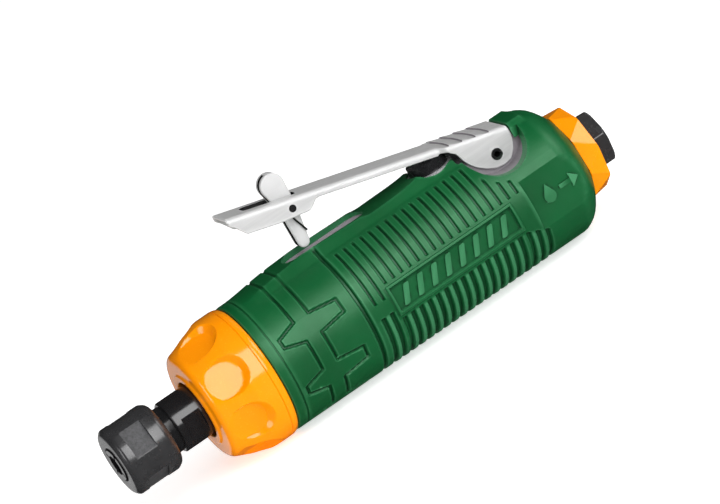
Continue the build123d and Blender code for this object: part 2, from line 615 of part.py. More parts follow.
# ---- Export ----
pieces = {
    "collet": collet, "collet_nut": collet_nut, "spindle": spindle, "rotor": rotor, "vanes": vanes,
    "front_plate": front_plate, "cylinder": cylinder, "rear_plate": rear_plate,
    "dowel_pin": dowel_pin, "rear_gasket": rear_gasket, "housing": housing,
    "front_cap": front_cap, "grip_sleeve": grip_sleeve, "valve_bushing": valve_bushing,
    "bushing_orings": bushing_orings, "throttle_button": throttle_button,
    "valve_stem": valve_stem, "valve_spring": valve_spring, "lever": lever,
    "lever_pin": lever_pin, "latch": latch, "latch_pin": latch_pin,
    "latch_spring": latch_spring, "exhaust_ring": exhaust_ring, "exhaust_felt": exhaust_felt,
    "inlet_bushing": inlet_bushing, "inlet_oring": inlet_oring, "inlet_screen": inlet_screen,
    **front_bearing, **rear_bearing,
}
os.makedirs("parts", exist_ok=True)
for name, piece in pieces.items():
    piece.part.label = name
    export_step(piece.part, f"parts/{name}.step")
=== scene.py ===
import json
from math import cos, pi, radians, sin

import bmesh
import bpy
import numpy as np
from mathutils import Matrix, Vector
from mathutils.geometry import convex_hull_2d


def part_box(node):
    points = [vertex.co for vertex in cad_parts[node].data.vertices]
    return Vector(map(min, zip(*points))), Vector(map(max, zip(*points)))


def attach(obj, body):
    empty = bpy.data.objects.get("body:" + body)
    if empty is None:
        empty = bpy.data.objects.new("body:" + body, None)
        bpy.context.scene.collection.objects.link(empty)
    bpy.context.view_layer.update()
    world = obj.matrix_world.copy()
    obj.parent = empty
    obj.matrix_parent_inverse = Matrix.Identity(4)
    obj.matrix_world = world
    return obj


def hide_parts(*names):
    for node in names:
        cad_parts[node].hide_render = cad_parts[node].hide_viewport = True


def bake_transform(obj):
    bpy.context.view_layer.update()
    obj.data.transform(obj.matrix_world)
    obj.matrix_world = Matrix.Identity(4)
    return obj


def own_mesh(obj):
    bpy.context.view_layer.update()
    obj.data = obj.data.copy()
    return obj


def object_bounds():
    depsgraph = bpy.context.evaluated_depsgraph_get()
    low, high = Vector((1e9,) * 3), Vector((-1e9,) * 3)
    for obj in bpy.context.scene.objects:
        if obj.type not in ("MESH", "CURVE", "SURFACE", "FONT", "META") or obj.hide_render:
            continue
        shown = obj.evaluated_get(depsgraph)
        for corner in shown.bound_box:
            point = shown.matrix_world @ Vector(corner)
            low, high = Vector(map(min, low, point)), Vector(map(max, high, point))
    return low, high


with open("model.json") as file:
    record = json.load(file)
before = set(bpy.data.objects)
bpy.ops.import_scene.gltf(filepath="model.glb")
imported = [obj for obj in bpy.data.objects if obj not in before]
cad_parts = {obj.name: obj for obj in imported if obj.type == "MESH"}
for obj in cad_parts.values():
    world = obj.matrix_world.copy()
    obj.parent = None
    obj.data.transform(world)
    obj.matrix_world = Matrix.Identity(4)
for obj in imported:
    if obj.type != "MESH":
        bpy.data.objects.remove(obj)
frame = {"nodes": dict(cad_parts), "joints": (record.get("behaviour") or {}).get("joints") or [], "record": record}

# Looks of the air die grinder. Lengths are in millimetres until a mesh is made. X runs along the
# spindle, Z points up to the lever, and angles round the body start at +Z and grow towards -Y.
MM = 0.001
CAD_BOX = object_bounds()


def node_span(node):
    """Lowest and highest corner of a CAD node, in millimetres."""
    low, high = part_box(node)
    return low / MM, high / MM


NUT_HIGH = node_span("collet_nut")[1]
RING_HIGH = node_span("exhaust_ring")[1]
INLET_HIGH = node_span("inlet_bushing")[1]
LATCH_LOW, LATCH_HIGH = node_span("latch")
JOINTS = {joint["name"]: joint for joint in frame["joints"]}
LEVER_PIVOT = Vector(JOINTS["lever_press"]["pos_m"]) / MM
LATCH_PIVOT = Vector(JOINTS["latch_fold"]["pos_m"]) / MM
VALVE_X = sum(corner.x for corner in node_span("throttle_button")) / 2


# ---- Small number helpers ----
def spread(start, end, step):
    """Even stations from start to end, both included."""
    count = max(1, round((end - start) / step))
    return [start + (end - start) * k / count for k in range(count + 1)]


def stations(*groups):
    """Sorted stations with no two closer than a hundredth."""
    values = sorted(value for group in groups for value in group)
    kept = [values[0]]
    for value in values[1:]:
        if value - kept[-1] > 0.01:
            kept.append(value)
    return np.array(kept)


def height_on(points, x):
    """Height of a polyline at x."""
    return np.interp(x, *np.transpose(points))


def smooth_step(low, high, value):
    """0 below low, 1 above high, with a soft ramp between."""
    t = np.clip((value - low) / (high - low), 0.0, 1.0)
    return t * t * (3 - 2 * t)


def soft_min(a, b, width):
    """The lower of two surfaces, with a rounded edge of about the given width."""
    h = np.clip(0.5 + 0.5 * (b - a) / width, 0.0, 1.0)
    return b + (a - b) * h - width * h * (1 - h)


def soft_max(a, b, width):
    return -soft_min(-a, -b, width)


def groove(distance, half_width):
    """1 on the floor of a groove and 0 outside it, with sloped walls."""
    return 1 - smooth_step(0.4 * half_width, half_width, np.abs(distance))


def soften(points, radius, steps=4, closed=True):
    """Round each corner of an outline with a short curve."""
    points = [np.array(point, float) for point in points]
    result = []
    for k, corner in enumerate(points):
        if not closed and k in (0, len(points) - 1):
            result.append(corner)
            continue
        back, ahead = points[k - 1] - corner, points[(k + 1) % len(points)] - corner
        back_length, ahead_length = np.linalg.norm(back), np.linalg.norm(ahead)
        reach = min(radius, 0.45 * back_length, 0.45 * ahead_length)
        start, end = corner + back / back_length * reach, corner + ahead / ahead_length * reach
        result += [(1 - t) ** 2 * start + 2 * t * (1 - t) * corner + t * t * end
                   for t in np.linspace(0, 1, steps)]
    return result


def divide(points, longest):
    """Add points to an open outline so that no edge is longer than given."""
    result = []
    for start, end in zip(points, points[1:]):
        pieces = int(np.ceil(np.linalg.norm(end - start) / longest))
        result += [start + (end - start) * n / pieces for n in range(pieces)]
    return result + [points[-1]]


def arc(centre, radius, start, end, steps=12):
    """Points on an arc, with its angles in degrees."""
    return [(centre[0] + radius * cos(radians(a)), centre[1] + radius * sin(radians(a)))
            for a in np.linspace(start, end, steps)]


# ---- Mesh helpers ----
def new_object(name, data):
    """Object with the data, put in the scene."""
    obj = bpy.data.objects.new(name, data)
    bpy.context.scene.collection.objects.link(obj)
    return obj


def mesh_object(name, points, faces, smooth_angle=30):
    """Object from points in millimetres, with edges sharper than smooth_angle left crisp."""
    mesh = bpy.data.meshes.new(name)
    mesh.from_pydata((np.array(points, float) * MM).tolist(), [], [list(f) for f in faces])
    work = bmesh.new()
    work.from_mesh(mesh)
    bmesh.ops.recalc_face_normals(work, faces=work.faces)
    work.to_mesh(mesh)
    work.free()
    obj = new_object(name, mesh)
    shade(obj, smooth_angle)
    return obj


def shade(obj, smooth_angle):
    """Smooth shading, except across edges sharper than the angle."""
    mesh = obj.data
    mesh.polygons.foreach_set("use_smooth", [True] * len(mesh.polygons))
    mesh.set_sharp_from_angle(angle=radians(smooth_angle))
    mesh.update()


def settle(obj):
    """Turn an object's modifiers into its mesh."""
    bpy.context.view_layer.update()
    evaluated = obj.evaluated_get(bpy.context.evaluated_depsgraph_get())
    mesh = bpy.data.meshes.new_from_object(evaluated)
    obj.modifiers.clear()
    old = obj.data
    obj.data = mesh
    bpy.data.meshes.remove(old)


def carve(obj, tools, operation="DIFFERENCE"):
    """Cut solids out of an object, or join them to it, and remove the solids."""
    for tool in tools:
        change = obj.modifiers.new("carve", "BOOLEAN")
        change.operation = operation
        change.solver = "MANIFOLD"
        change.object = tool
        settle(obj)
        bpy.data.objects.remove(tool)


def bevel(obj, width, segments, angle):
    """Round the edges sharper than the angle."""
    edge = obj.modifiers.new("bevel", "BEVEL")
    edge.width = width * MM
    edge.segments = segments
    edge.limit_method = "ANGLE"
    edge.angle_limit = radians(angle)
    settle(obj)


def quads(count, around, closed=False):
    """Faces between each loop of points and the next, and from the last to the first if closed."""
    i, j = np.meshgrid(np.arange(count if closed else count - 1), np.arange(around), indexing="ij")
    here, after, beside = i * around, (i + 1) % count * around, (j + 1) % around
    corners = np.stack([here + j, here + beside, after + beside, after + j], -1)
    return corners.reshape(-1, 4).tolist()


def ring_shell(name, rings, smooth_angle=30):
    """Closed shell through rings of points about the spindle axis, the last joined to the first."""
    rings = np.array(rings, float)
    return mesh_object(name, rings.reshape(-1, 3), quads(*rings.shape[:2], True), smooth_angle)


def columns(outline):
    """Stations and radii of an outline, as two columns."""
    table = np.array([tuple(point) for point in outline], float)
    return table[:, :1], table[:, 1:]


def polar(x, radius, angle):
    """Points at an angle in degrees round the body."""
    x, radius, angle = np.broadcast_arrays(x, radius, np.radians(angle))
    return np.stack([x, -radius * np.sin(angle), radius * np.cos(angle)], -1)


def lathe(name, outline, angles, limit=None, smooth_angle=30):
    """Revolve a closed outline of (x, radius); limit(x, angle) may lower the outer radius."""
    x, radius = columns(outline)
    around = np.array(angles)[None, :]
    if limit is not None:
        radius = np.minimum(radius, limit(x, around))
    return ring_shell(name, polar(x, radius, around), smooth_angle)


def prism(name, outline, start, end, along="Y"):
    """Solid between two copies of an outline: (x, z) along Y, (x, y) along Z, (y, z) along X."""
    count = len(outline)
    order = {"X": (2, 0, 1), "Y": (0, 2, 1), "Z": (0, 1, 2)}[along]
    flat = np.array(outline, float)
    points = np.vstack([np.column_stack([flat, np.full(count, level)]) for level in (start, end)])
    faces = [list(range(count)), list(range(count, 2 * count))] + quads(2, count)
    return mesh_object(name, points[:, order], faces)


def circle(centre, radius, steps=48):
    return arc(centre, radius, 0, 360 * (steps - 1) / steps, steps)


def stadium(centre, length, width, steps=20):
    """Outline of a slot with round ends, its length along the first axis."""
    reach = (length - width) / 2
    return (arc((centre[0] + reach, centre[1]), width / 2, -90, 90, steps)
            + arc((centre[0] - reach, centre[1]), width / 2, 90, 270, steps))


def paint(piece, materials, choose):
    """Give a piece several materials; choose(centre in millimetres, normal) numbers each face's."""
    piece.data.materials.clear()
    for material in materials:
        piece.data.materials.append(material)
    for face in piece.data.polygons:
        face.material_index = choose(face.center / MM, face.normal)


def finish_piece(piece, body, slot, *nodes):
    """Ride on a body, take the slot's material and stand for the CAD nodes."""
    if not any(piece.data.materials):
        piece.data.materials.clear()
        piece.data.materials.append(MATERIALS[slot])
    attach(piece, body)
    if nodes:
        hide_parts(*nodes)


# ---- Materials ----
def set_inputs(node, values):
    """Set a node's unlinked inputs by name."""
    for name, value in values.items():
        node.inputs[name].default_value = value


class Shader:
    """A Principled material with short helpers for its nodes. Texture sizes are in metres."""

    def __init__(self, name, metallic=0.0, specular=0.5, coat=0.0, coat_roughness=0.05):
        self.material = bpy.data.materials.new(name)
        self.material.use_nodes = True
        self.nodes = self.material.node_tree.nodes
        self.links = self.material.node_tree.links
        self.surface = self.nodes["Principled BSDF"]
        set_inputs(self.surface, {"Metallic": metallic, "Specular IOR Level": specular,
                                  "Coat Weight": coat, "Coat Roughness": coat_roughness})
        self.place = self.nodes.new("ShaderNodeTexCoord").outputs["Object"]
        self.heights = []

    def stretch(self, x, y, z):
        """Object coordinates scaled on each axis."""
        mapping = self.nodes.new("ShaderNodeMapping")
        set_inputs(mapping, {"Scale": (x, y, z)})
        self.links.new(self.place, mapping.inputs["Vector"])
        return mapping.outputs["Vector"]

    def noise(self, size, detail=3.0, rough=0.55, place=None):
        """Noise whose features are about the given size in metres."""
        texture = self.nodes.new("ShaderNodeTexNoise")
        set_inputs(texture, {"Scale": 1 / size, "Detail": detail, "Roughness": rough})
        self.links.new(place or self.place, texture.inputs["Vector"])
        return texture.outputs["Fac"]

    def ramp(self, value, *stops):
        """Colour ramp from (position, colour) stops."""
        node = self.nodes.new("ShaderNodeValToRGB")
        elements = node.color_ramp.elements
        while len(elements) < len(stops):
            elements.new(0.5)
        for element, (position, colour) in zip(elements, stops):
            element.position = position
            element.color = (*colour, 1.0) if hasattr(colour, "__len__") else (colour,) * 3 + (1.0,)
        self.links.new(value, node.inputs["Fac"])
        return node.outputs["Color"]

    def pointed(self, first, last):
        """Ramp over how far a point stands out: over 0.5 on outward edges, under it in corners."""
        return self.ramp(self.nodes.new("ShaderNodeNewGeometry").outputs["Pointiness"], first, last)

    def mix(self, share, first, second):
        """Blend two colours or two colour sockets."""
        node = self.nodes.new("ShaderNodeMix")
        node.data_type = "RGBA"
        for socket, value in ((node.inputs[0], share), (node.inputs[6], first),
                              (node.inputs[7], second)):
            if isinstance(value, bpy.types.NodeSocket):
                self.links.new(value, socket)
            elif hasattr(value, "__len__"):
                socket.default_value = (*value, 1.0)
            else:
                socket.default_value = value
        return node.outputs[2]

    def colour(self, socket):
        self.links.new(socket, self.surface.inputs["Base Color"])

    def roughness(self, texture, low, high):
        """Roughness between two values, following a texture."""
        span = self.nodes.new("ShaderNodeMapRange")
        set_inputs(span, {"From Min": 0.3, "From Max": 0.7, "To Min": low, "To Max": high})
        self.links.new(texture, span.inputs["Value"])
        self.links.new(span.outputs["Result"], self.surface.inputs["Roughness"])

    def bump(self, height, depth, strength=1.0):
        """Raise the surface by a texture; each call adds to the ones before. Depth in metres."""
        node = self.nodes.new("ShaderNodeBump")
        set_inputs(node, {"Distance": depth, "Strength": strength})
        self.links.new(height, node.inputs["Height"])
        if self.heights:
            self.links.new(self.heights[-1], node.inputs["Normal"])
        self.heights.append(node.outputs["Normal"])
        self.links.new(node.outputs["Normal"], self.surface.inputs["Normal"])

    def all_from(self, texture, dark, light, roughness, bump):
        """Let one texture drive the colour, the roughness and the bump."""
        self.colour(self.ramp(texture, dark, light))
        self.roughness(texture, *roughness)
        self.bump(texture, *bump)
        return self.material


def green_grip():
    """Satin over-moulded rubber with a fine spark-eroded grain, a painted highlight on its outward edges and
    painted shade in its grooves.
    """
    shader = Shader("green_grip", specular=0.65)
    set_inputs(shader.surface, {"Specular Tint": (0.55, 1.0, 0.68, 1.0)})
    patches = shader.noise(0.018, detail=2)
    grain = shader.noise(0.00035, detail=2, rough=0.7)
    base = shader.ramp(patches, (0.3, (0.0005, 0.070, 0.016)), (0.7, (0.001, 0.090, 0.022)))
    # Outward edges (high pointiness) are painted a lighter green as a highlight.
    edge_highlight = shader.mix(shader.pointed((0.51, 0.0), (0.59, 1.0)), base, (0.045, 0.22, 0.095))
    # Grooves and creases (low pointiness) are painted a near-black green as shade.
    edge_highlight = shader.mix(shader.pointed((0.45, 1.0), (0.496, 0.0)), edge_highlight, (0.001, 0.020, 0.006))
    shader.colour(shader.mix(shader.ramp(grain, (0.35, 0.0), (0.75, 0.25)), edge_highlight,
                             (0.003, 0.105, 0.032)))
    shader.roughness(shader.noise(0.004, detail=4), 0.36, 0.46)
    shader.bump(grain, 0.00003, 0.5)
    shader.bump(shader.noise(0.003), 0.00004, 0.25)
    return shader.material


def orange_plastic():
    """Glossy moulded plastic with a faint ripple and fine scuffs."""
    shader = Shader("orange_plastic", specular=0.4, coat=0.40, coat_roughness=0.04)
    tone = shader.noise(0.012, detail=2)
    base = shader.ramp(tone, (0.3, (0.90, 0.262, 0.0)), (0.7, (0.96, 0.290, 0.0003)))
    speck = shader.ramp(shader.noise(0.0005, detail=1), (0.62, 0.0), (0.72, 0.3))
    shader.colour(shader.mix(speck, base, (1.0, 0.42, 0.02)))
    shader.roughness(shader.noise(0.002, detail=5, rough=0.7), 0.12, 0.20)
    shader.bump(shader.noise(0.0022), 0.00003, 0.25)
    return shader.material


def scaled(tone, share):
    return tuple(share * part for part in tone)


def plate_metal(name, tone, low, high, metallic, streak=(40, 900, 900)):
    """Satin sheet metal, brushed along its length, with its edges painted brighter as a highlight."""
    shader = Shader(name, metallic=metallic)
    brushed = shader.noise(1.0, detail=4, rough=0.6, place=shader.stretch(*streak))
    cloud = shader.noise(0.01, detail=3)
    base = shader.ramp(brushed, (0.3, scaled(tone, 0.84)), (0.7, tone))
    mottled = shader.mix(shader.ramp(cloud, (0.35, 0.0), (0.75, 0.35)), base, scaled(tone, 0.9))
    # Outward edges are painted 12 percent lighter: a painted highlight.
    edge = shader.pointed((0.505, 0.0), (0.56, 1.0))
    shader.colour(shader.mix(edge, mottled, scaled(tone, 1.12)))
    shader.roughness(shader.noise(0.0012, detail=5), low, high)
    shader.bump(brushed, 0.00002, 0.25)
    shader.bump(shader.noise(0.0006), 0.000015, 0.3)
    return shader.material


def dark_metal(name, tone, low, high, metallic, edge_highlight, coat):
    """Blackened steel with turned lines and edges painted lighter as a highlight."""
    shader = Shader(name, metallic=metallic, coat=coat, coat_roughness=0.16)
    turned = shader.noise(1.0, detail=3, rough=0.6, place=shader.stretch(2500, 60, 60))
    cloud = shader.noise(0.003, detail=4, rough=0.65)
    base = shader.ramp(cloud, (0.3, scaled(tone, 0.75)), (0.7, tone))
    # Where a tone is given, outward edges are painted in it as a highlight.
    if edge_highlight:
        base = shader.mix(shader.pointed((0.53, 0.0), (0.62, 1.0)), base, (edge_highlight,) * 3)
    shader.colour(base)
    shader.roughness(shader.noise(0.002, detail=2), low, high)
    shader.bump(turned, 0.000006, 0.12)
    return shader.material


def rough_steel():
    """Unmachined, mottled floor of the nut's wrench flats."""
    shader = Shader("rough_steel", metallic=0.3)
    mottle = shader.noise(0.0009, detail=5, rough=0.75)
    return shader.all_from(mottle, (0.32, (0.035, 0.035, 0.037)), (0.68, (0.115, 0.115, 0.12)),
                           (0.45, 0.7), (0.00012, 0.8))


def black_plastic():
    """Satin black moulding with a light grain."""
    shader = Shader("black_plastic")
    grain = shader.noise(0.0004, detail=3)
    shader.colour(shader.ramp(grain, (0.3, (0.008, 0.008, 0.009)), (0.7, (0.013, 0.013, 0.014))))
    shader.roughness(shader.noise(0.001), 0.18, 0.32)
    shader.bump(grain, 0.00001, 0.15)
    return shader.material


def vane_composite():
    """Layered resin sheet with woven flecks."""
    shader = Shader("vane_composite")
    layers = shader.noise(1.0, detail=3, place=shader.stretch(400, 4000, 4000))
    return shader.all_from(layers, (0.3, (0.13, 0.065, 0.028)), (0.7, (0.27, 0.15, 0.07)),
                           (0.4, 0.6), (0.00003, 0.4))


def seal_rubber():
    """Matte black rubber with a dusty bloom."""
    shader = Shader("seal_rubber", specular=0.3)
    dust = shader.noise(0.0015, detail=5)
    return shader.all_from(dust, (0.3, 0.010), (0.75, 0.035), (0.55, 0.8), (0.00003, 0.4))


def felt():
    """Pressed grey fibres."""
    shader = Shader("felt", specular=0.1)
    fibres = shader.noise(0.0005, detail=6, rough=0.8)
    return shader.all_from(fibres, (0.3, (0.16, 0.15, 0.13)), (0.7, (0.42, 0.40, 0.36)),
                           (0.85, 1.0), (0.0003, 0.9))


TURNED_GRAIN = (2500, 90, 90)
MATERIALS = {
    "orange_plastic": orange_plastic(),
    "green_grip": green_grip(),
    "housing_alloy": plate_metal("housing_alloy", (0.34, 0.315, 0.34), 0.42, 0.54, 0.35,
                                 TURNED_GRAIN),
    "lever_plate": plate_metal("lever_plate", (0.58, 0.58, 0.58), 0.38, 0.50, 0.20),
    "black_steel": dark_metal("black_steel", (0.014, 0.014, 0.015), 0.14, 0.22, 0.1, 0.0, 0.6),
    "dark_steel": dark_metal("dark_steel", (0.045, 0.045, 0.047), 0.20, 0.30, 0.3, 0.16, 0.5),
    "bright_steel": plate_metal("bright_steel", (0.62, 0.62, 0.64), 0.22, 0.34, 0.6, TURNED_GRAIN),
    "black_plastic": black_plastic(),
    "vane_composite": vane_composite(),
    "seal_rubber": seal_rubber(),
    "felt": felt(),
    "brass_mesh": plate_metal("brass_mesh", (0.72, 0.50, 0.18), 0.28, 0.40, 0.9),
}
ROUGH_STEEL = rough_steel()


def dress_cad_nodes():
    """Give every CAD node its slot's material."""
    for subpart in frame["record"]["subparts"]:
        node = frame["nodes"][subpart["node"]]
        if not node.material_slots:
            node.data.materials.append(MATERIALS[subpart["material_slot"]])
        for holder in node.material_slots:
            holder.material = MATERIALS[subpart["material_slot"]]


# ---- Grip sleeve ----
SLEEVE_R = 20.5
SLEEVE_BORE_R = 18.0
PAD_LINE = [(48.7, 20.5), (50.0, 20.85), (66.0, 21.3), (75.0, 21.9), (78.0, 21.9), (95.5, 21.5),
            (98.5, 20.85), (107.0, 21.1), (113.0, 21.4), (116.3, 22.0), (117.3, 20.6),
            (151.0, 20.6), (158.4, 20.6)]
PAD_FACET = (4.0, 4.4, 116.4)
PAD_START = (50.0, 67.0)
FACET_END = 27.2
DOME = [(48.7, 20.15), (48.95, 20.42), (49.4, 20.5), (150.5, 20.5), (151.6, 20.35), (153.0, 19.8),
        (154.2, 19.1), (155.2, 18.3), (156.2, 17.2), (157.3, 15.7), (158.1, 14.4), (158.4, 13.9)]
NOTCH_ANGLES = (67.5, 112.5, 157.5)
FRONT_ZIGZAG = (60.5, 54.1, 9.2, 3.7)
REAR_ZIGZAG = (65.7, 74.2, 9.4, 5.8)
ZIGZAG_DEPTH = (0.42, 0.70)
ZIGZAG_DEEPENS = (24.0, 32.0)
ZIGZAG_HALF = 0.60
FRONT_LINE_X, FRONT_LINE_DEPTH, FRONT_LINE_HALF = 51.9, 0.22, 0.35
BAND_X, BAND_DEPTH, BAND_HALF = 79.0, 1.1, 0.85
BAND_START = (12.0, 13.5)
RIB_FIRST = 82.75
RIB_PITCH = 2.9
RIBS = 19
RIB_DEPTH, RIB_HALF = 0.75, 0.55
LOWER_RIB_DEPTH, LOWER_RIB_HALF, LOWER_RIB_CROWN = 0.95, 0.95, 0.06
RIB_TURN_END = (84.5, 74.4)
LOWER_RIB_TURN_START = (96.0, 105.4)
LOWER_RIB_REAR_SLANT = 1.35
PANEL_X = (87.5, 131.7)
PANEL_ANGLES = (76.4, 103.1)
PANEL_FLOOR = 19.85
PANEL_FRAME_HEIGHT = 0.32
BARS, BAR_FIRST, BAR_PITCH = 8, 92.3, 4.9
SLOT_X, SLOT_LENGTH, SLOT_WIDTH = 84.25, 27.5, 8.7
LINER_TOP = 20.15
WELL_R = 7.3
LEVER_WELL = (126.9, 146.0)
LEVER_WELL_HALF = 8.3
POCKET = (138.2, 20.9)
POCKET_R = 10.1
SIDE_FLAT = 18.9
SIDE_FLAT_X = 137.0
DROP_X, ARROW_X = 143.2, 150.0


def zigzag(straight, tip, half_foot, half_tip):
    """Path (x, mm round the body) with a notch at each notch angle, from the top to the bottom."""
    scale = radians(1) * SLEEVE_R
    path = [(straight, 0.0)]
    for angle in NOTCH_ANGLES:
        for x, offset in ((straight, -half_foot), (tip, -half_tip), (tip, half_tip),
                          (straight, half_foot)):
            path.append((x, (angle + offset) * scale))
    return path + [(straight, 180 * scale)]


def path_distance(x, round_mm, path):
    """Distance on the unrolled surface to a polyline."""
    nearest = np.full(np.broadcast(x, round_mm).shape, 1e9)
    for (x0, s0), (x1, s1) in zip(path, path[1:]):
        length2 = (x1 - x0) ** 2 + (s1 - s0) ** 2
        t = np.clip(((x - x0) * (x1 - x0) + (round_mm - s0) * (s1 - s0)) / length2, 0, 1)
        away = np.hypot(x - x0 - t * (x1 - x0), round_mm - s0 - t * (s1 - s0))
        nearest = np.minimum(nearest, away)
    return nearest


def blurred_line(points, x, reach):
    """Height of a polyline at x, averaged over a short reach."""
    return sum(height_on(points, x + shift) for shift in np.linspace(-reach, reach, 7)) / 7


def rib_depth(x, turn):
    """Depth of the rib grooves: thin above the panel, wide and round below it."""
    phase = (x - RIB_FIRST + RIB_PITCH / 2) % RIB_PITCH - RIB_PITCH / 2
    last = RIB_FIRST + RIB_PITCH * (RIBS - 1)
    height = SLEEVE_R * np.cos(np.radians(turn))
    from_pocket = np.hypot(x - POCKET[0], height - POCKET[1]) - POCKET_R
    panel_front = smooth_step(PANEL_X[0] - 0.9, PANEL_X[0] - 0.6, x)
    upper_end = np.interp(panel_front, (0, 1), RIB_TURN_END)
    upper = (smooth_step(FACET_END + 0.3, FACET_END + 1.3, turn)
             * smooth_step(0.0, 1.0, upper_end - turn)
             * smooth_step(1.4, 1.9, from_pocket)
             * smooth_step(-0.7, -0.6, x - RIB_FIRST + 0.1)
             * smooth_step(-0.7, -0.6, last - 0.1 - x))
    rear_rise = np.clip(x - PANEL_X[1], 0, 9.0)
    lower_start = (np.interp(panel_front, (0, 1), LOWER_RIB_TURN_START)
                   + LOWER_RIB_REAR_SLANT * rear_rise)
    lower = (smooth_step(0.0, 1.4, turn - lower_start)
             * smooth_step(-0.9, -0.8, x - RIB_FIRST)
             * smooth_step(-0.9, -0.8, last + RIB_PITCH + 0.05 - x))
    crown = LOWER_RIB_CROWN * (1 - np.cos(2 * pi * phase / RIB_PITCH))
    return (RIB_DEPTH * groove(phase, RIB_HALF) * upper
            + lower * (LOWER_RIB_DEPTH * groove(phase, LOWER_RIB_HALF) - crown))


def panel_shape(x, turn, radius):
    """Flat panel floor with a thin raised frame round it."""
    scale = radians(1) * SLEEVE_R
    outside_x = np.maximum(PANEL_X[0] - x, x - PANEL_X[1])
    outside_a = np.maximum(PANEL_ANGLES[0] - turn, turn - PANEL_ANGLES[1]) * scale
    outside = np.maximum(outside_x, outside_a)
    floor = np.minimum(radius, PANEL_FLOOR / np.maximum(np.sin(np.radians(turn)), 0.3))
    radius = np.where(outside < -0.9, floor, radius)
    frame_height = smooth_step(-1.15, -0.85, outside) * (1 - smooth_step(-0.25, 0.05, outside))
    return radius + PANEL_FRAME_HEIGHT * frame_height


def sleeve_radius(x, angle):
    """Outer radius of the grip sleeve; both sides are the same."""
    turn = np.abs((angle + 180) % 360 - 180)
    sine, cosine = np.sin(np.radians(turn)), np.cos(np.radians(turn))
    base = height_on(DOME, x) + 0 * turn
    top = blurred_line(PAD_LINE, x, 0.7)
    plane = top / np.maximum(cosine, 0.2)
    facet = PAD_FACET[2] / np.maximum(PAD_FACET[0] * sine + PAD_FACET[1] * cosine, 1.0)
    pad = soft_min(plane, facet, 0.35)
    inside = (turn < 60) & (x < 151.0)
    raised = np.where(inside, soft_max(base, np.minimum(pad, 24.0), 0.12), base)
    radius = base + (raised - base) * smooth_step(PAD_START[0], PAD_START[1], x)
    round_mm = turn * radians(1) * SLEEVE_R
    for path in (zigzag(*FRONT_ZIGZAG), zigzag(*REAR_ZIGZAG)):
        depth = np.interp(smooth_step(*ZIGZAG_DEEPENS, turn), (0, 1), ZIGZAG_DEPTH)
        radius = radius - depth * groove(path_distance(x, round_mm, path), ZIGZAG_HALF)
    radius = radius - FRONT_LINE_DEPTH * groove(x - FRONT_LINE_X, FRONT_LINE_HALF)
    radius = radius - BAND_DEPTH * groove(x - BAND_X, BAND_HALF) * smooth_step(*BAND_START, turn)
    radius = radius - rib_depth(x, turn)
    radius = panel_shape(x, turn, radius)
    flat = SIDE_FLAT / np.maximum(sine, 0.3)
    flat_here = smooth_step(SIDE_FLAT_X - 0.12, SIDE_FLAT_X + 0.12, x)
    return radius + (np.minimum(radius, flat) - radius) * flat_here


def sleeve_stations():
    """Stations along the sleeve, close together where a groove runs."""
    ribs = [RIB_FIRST + RIB_PITCH * n + step for n in range(RIBS + 1)
            for step in (-0.95, -0.68, -0.45, -0.2, 0.2, 0.45, 0.68, 0.95)]
    return stations([48.7, 48.8, 48.95, 49.15, 49.4, 50.0, 50.8, 51.55, 51.72, 51.9, 52.08, 52.25],
                    spread(53.2, 75.2, 0.3), spread(75.2, 78.2, 0.6),
                    [78.1, 78.3, 78.5, 78.7, 79.0, 79.3, 79.5, 79.7, 79.9, 80.5, 81.2], ribs,
                    [86.6, 86.9, 87.5, 88.4, 88.6, 130.6, 130.9, 131.7, 131.8],
                    [SIDE_FLAT_X - 0.12, SIDE_FLAT_X + 0.12], spread(139.0, 150.4, 1.0),
                    [point[0] for point in DOME[3:]])


def sleeve_angles():
    """Angles round the sleeve, close together where the notches lie."""
    half = stations([0.0], spread(0.0, 12.0, 1.5), [12.6, 13.2], spread(14.0, 26.6, 1.8),
                    [27.2, 27.5, 28.5], spread(29.5, 56.0, 1.6), spread(56.0, 79.0, 0.9),
                    [73.4, 74.4, 76.2, 77.0, 78.6, 79.2], spread(79.0, 101.0, 1.5),
                    [83.5, 84.5, 96.0, 97.4, 100.9, 102.4, 103.2, 104.0, 105.4, 106.8],
                    [67.1, 67.25, 112.75, 112.9], spread(101.0, 124.0, 0.9),
                    spread(124.0, 146.0, 2.0), spread(146.0, 169.0, 0.9), spread(169.0, 180.0, 2.2))
    other = [360 - value for value in half[1:-1]][::-1]
    return np.concatenate([half, other])


def side_prism(name, outline, side, start, end):
    """Solid on a side face, between two distances from the middle plane."""
    return prism(name, outline, *sorted((side * start, side * end)))


def panel_bars(side):
    """Row of raised slanted bars on the side panel."""
    outline = soften([(-2.2, -2.9), (-0.3, -2.9), (2.2, 2.9), (0.3, 2.9)], 0.7, 5)
    placed = [[(x + BAR_FIRST + BAR_PITCH * n, z) for x, z in outline] for n in range(BARS)]
    return [side_prism("panel_bar", bar, side, 19.0, 20.3) for bar in placed]


def flat_pictogram(side):
    """Raised oil drop and arrow on the rear side flat."""
    drop = [(0.0, 3.3)] + arc((0.0, -0.7), 1.9, 28, -208, 22)
    arrow = [(-3.2, 0.65), (-3.2, -0.65), (0.6, -0.65), (0.6, -2.3), (3.3, 0.0), (0.6, 2.3),
             (0.6, 0.65)]
    placed = [[(x + middle, z) for x, z in soften(outline, 0.25, 3)]
              for outline, middle in ((drop, DROP_X), (arrow, ARROW_X))]
    return [side_prism("pictogram", outline, side, SIDE_FLAT - 0.6, SIDE_FLAT + 0.3)
            for outline in placed]


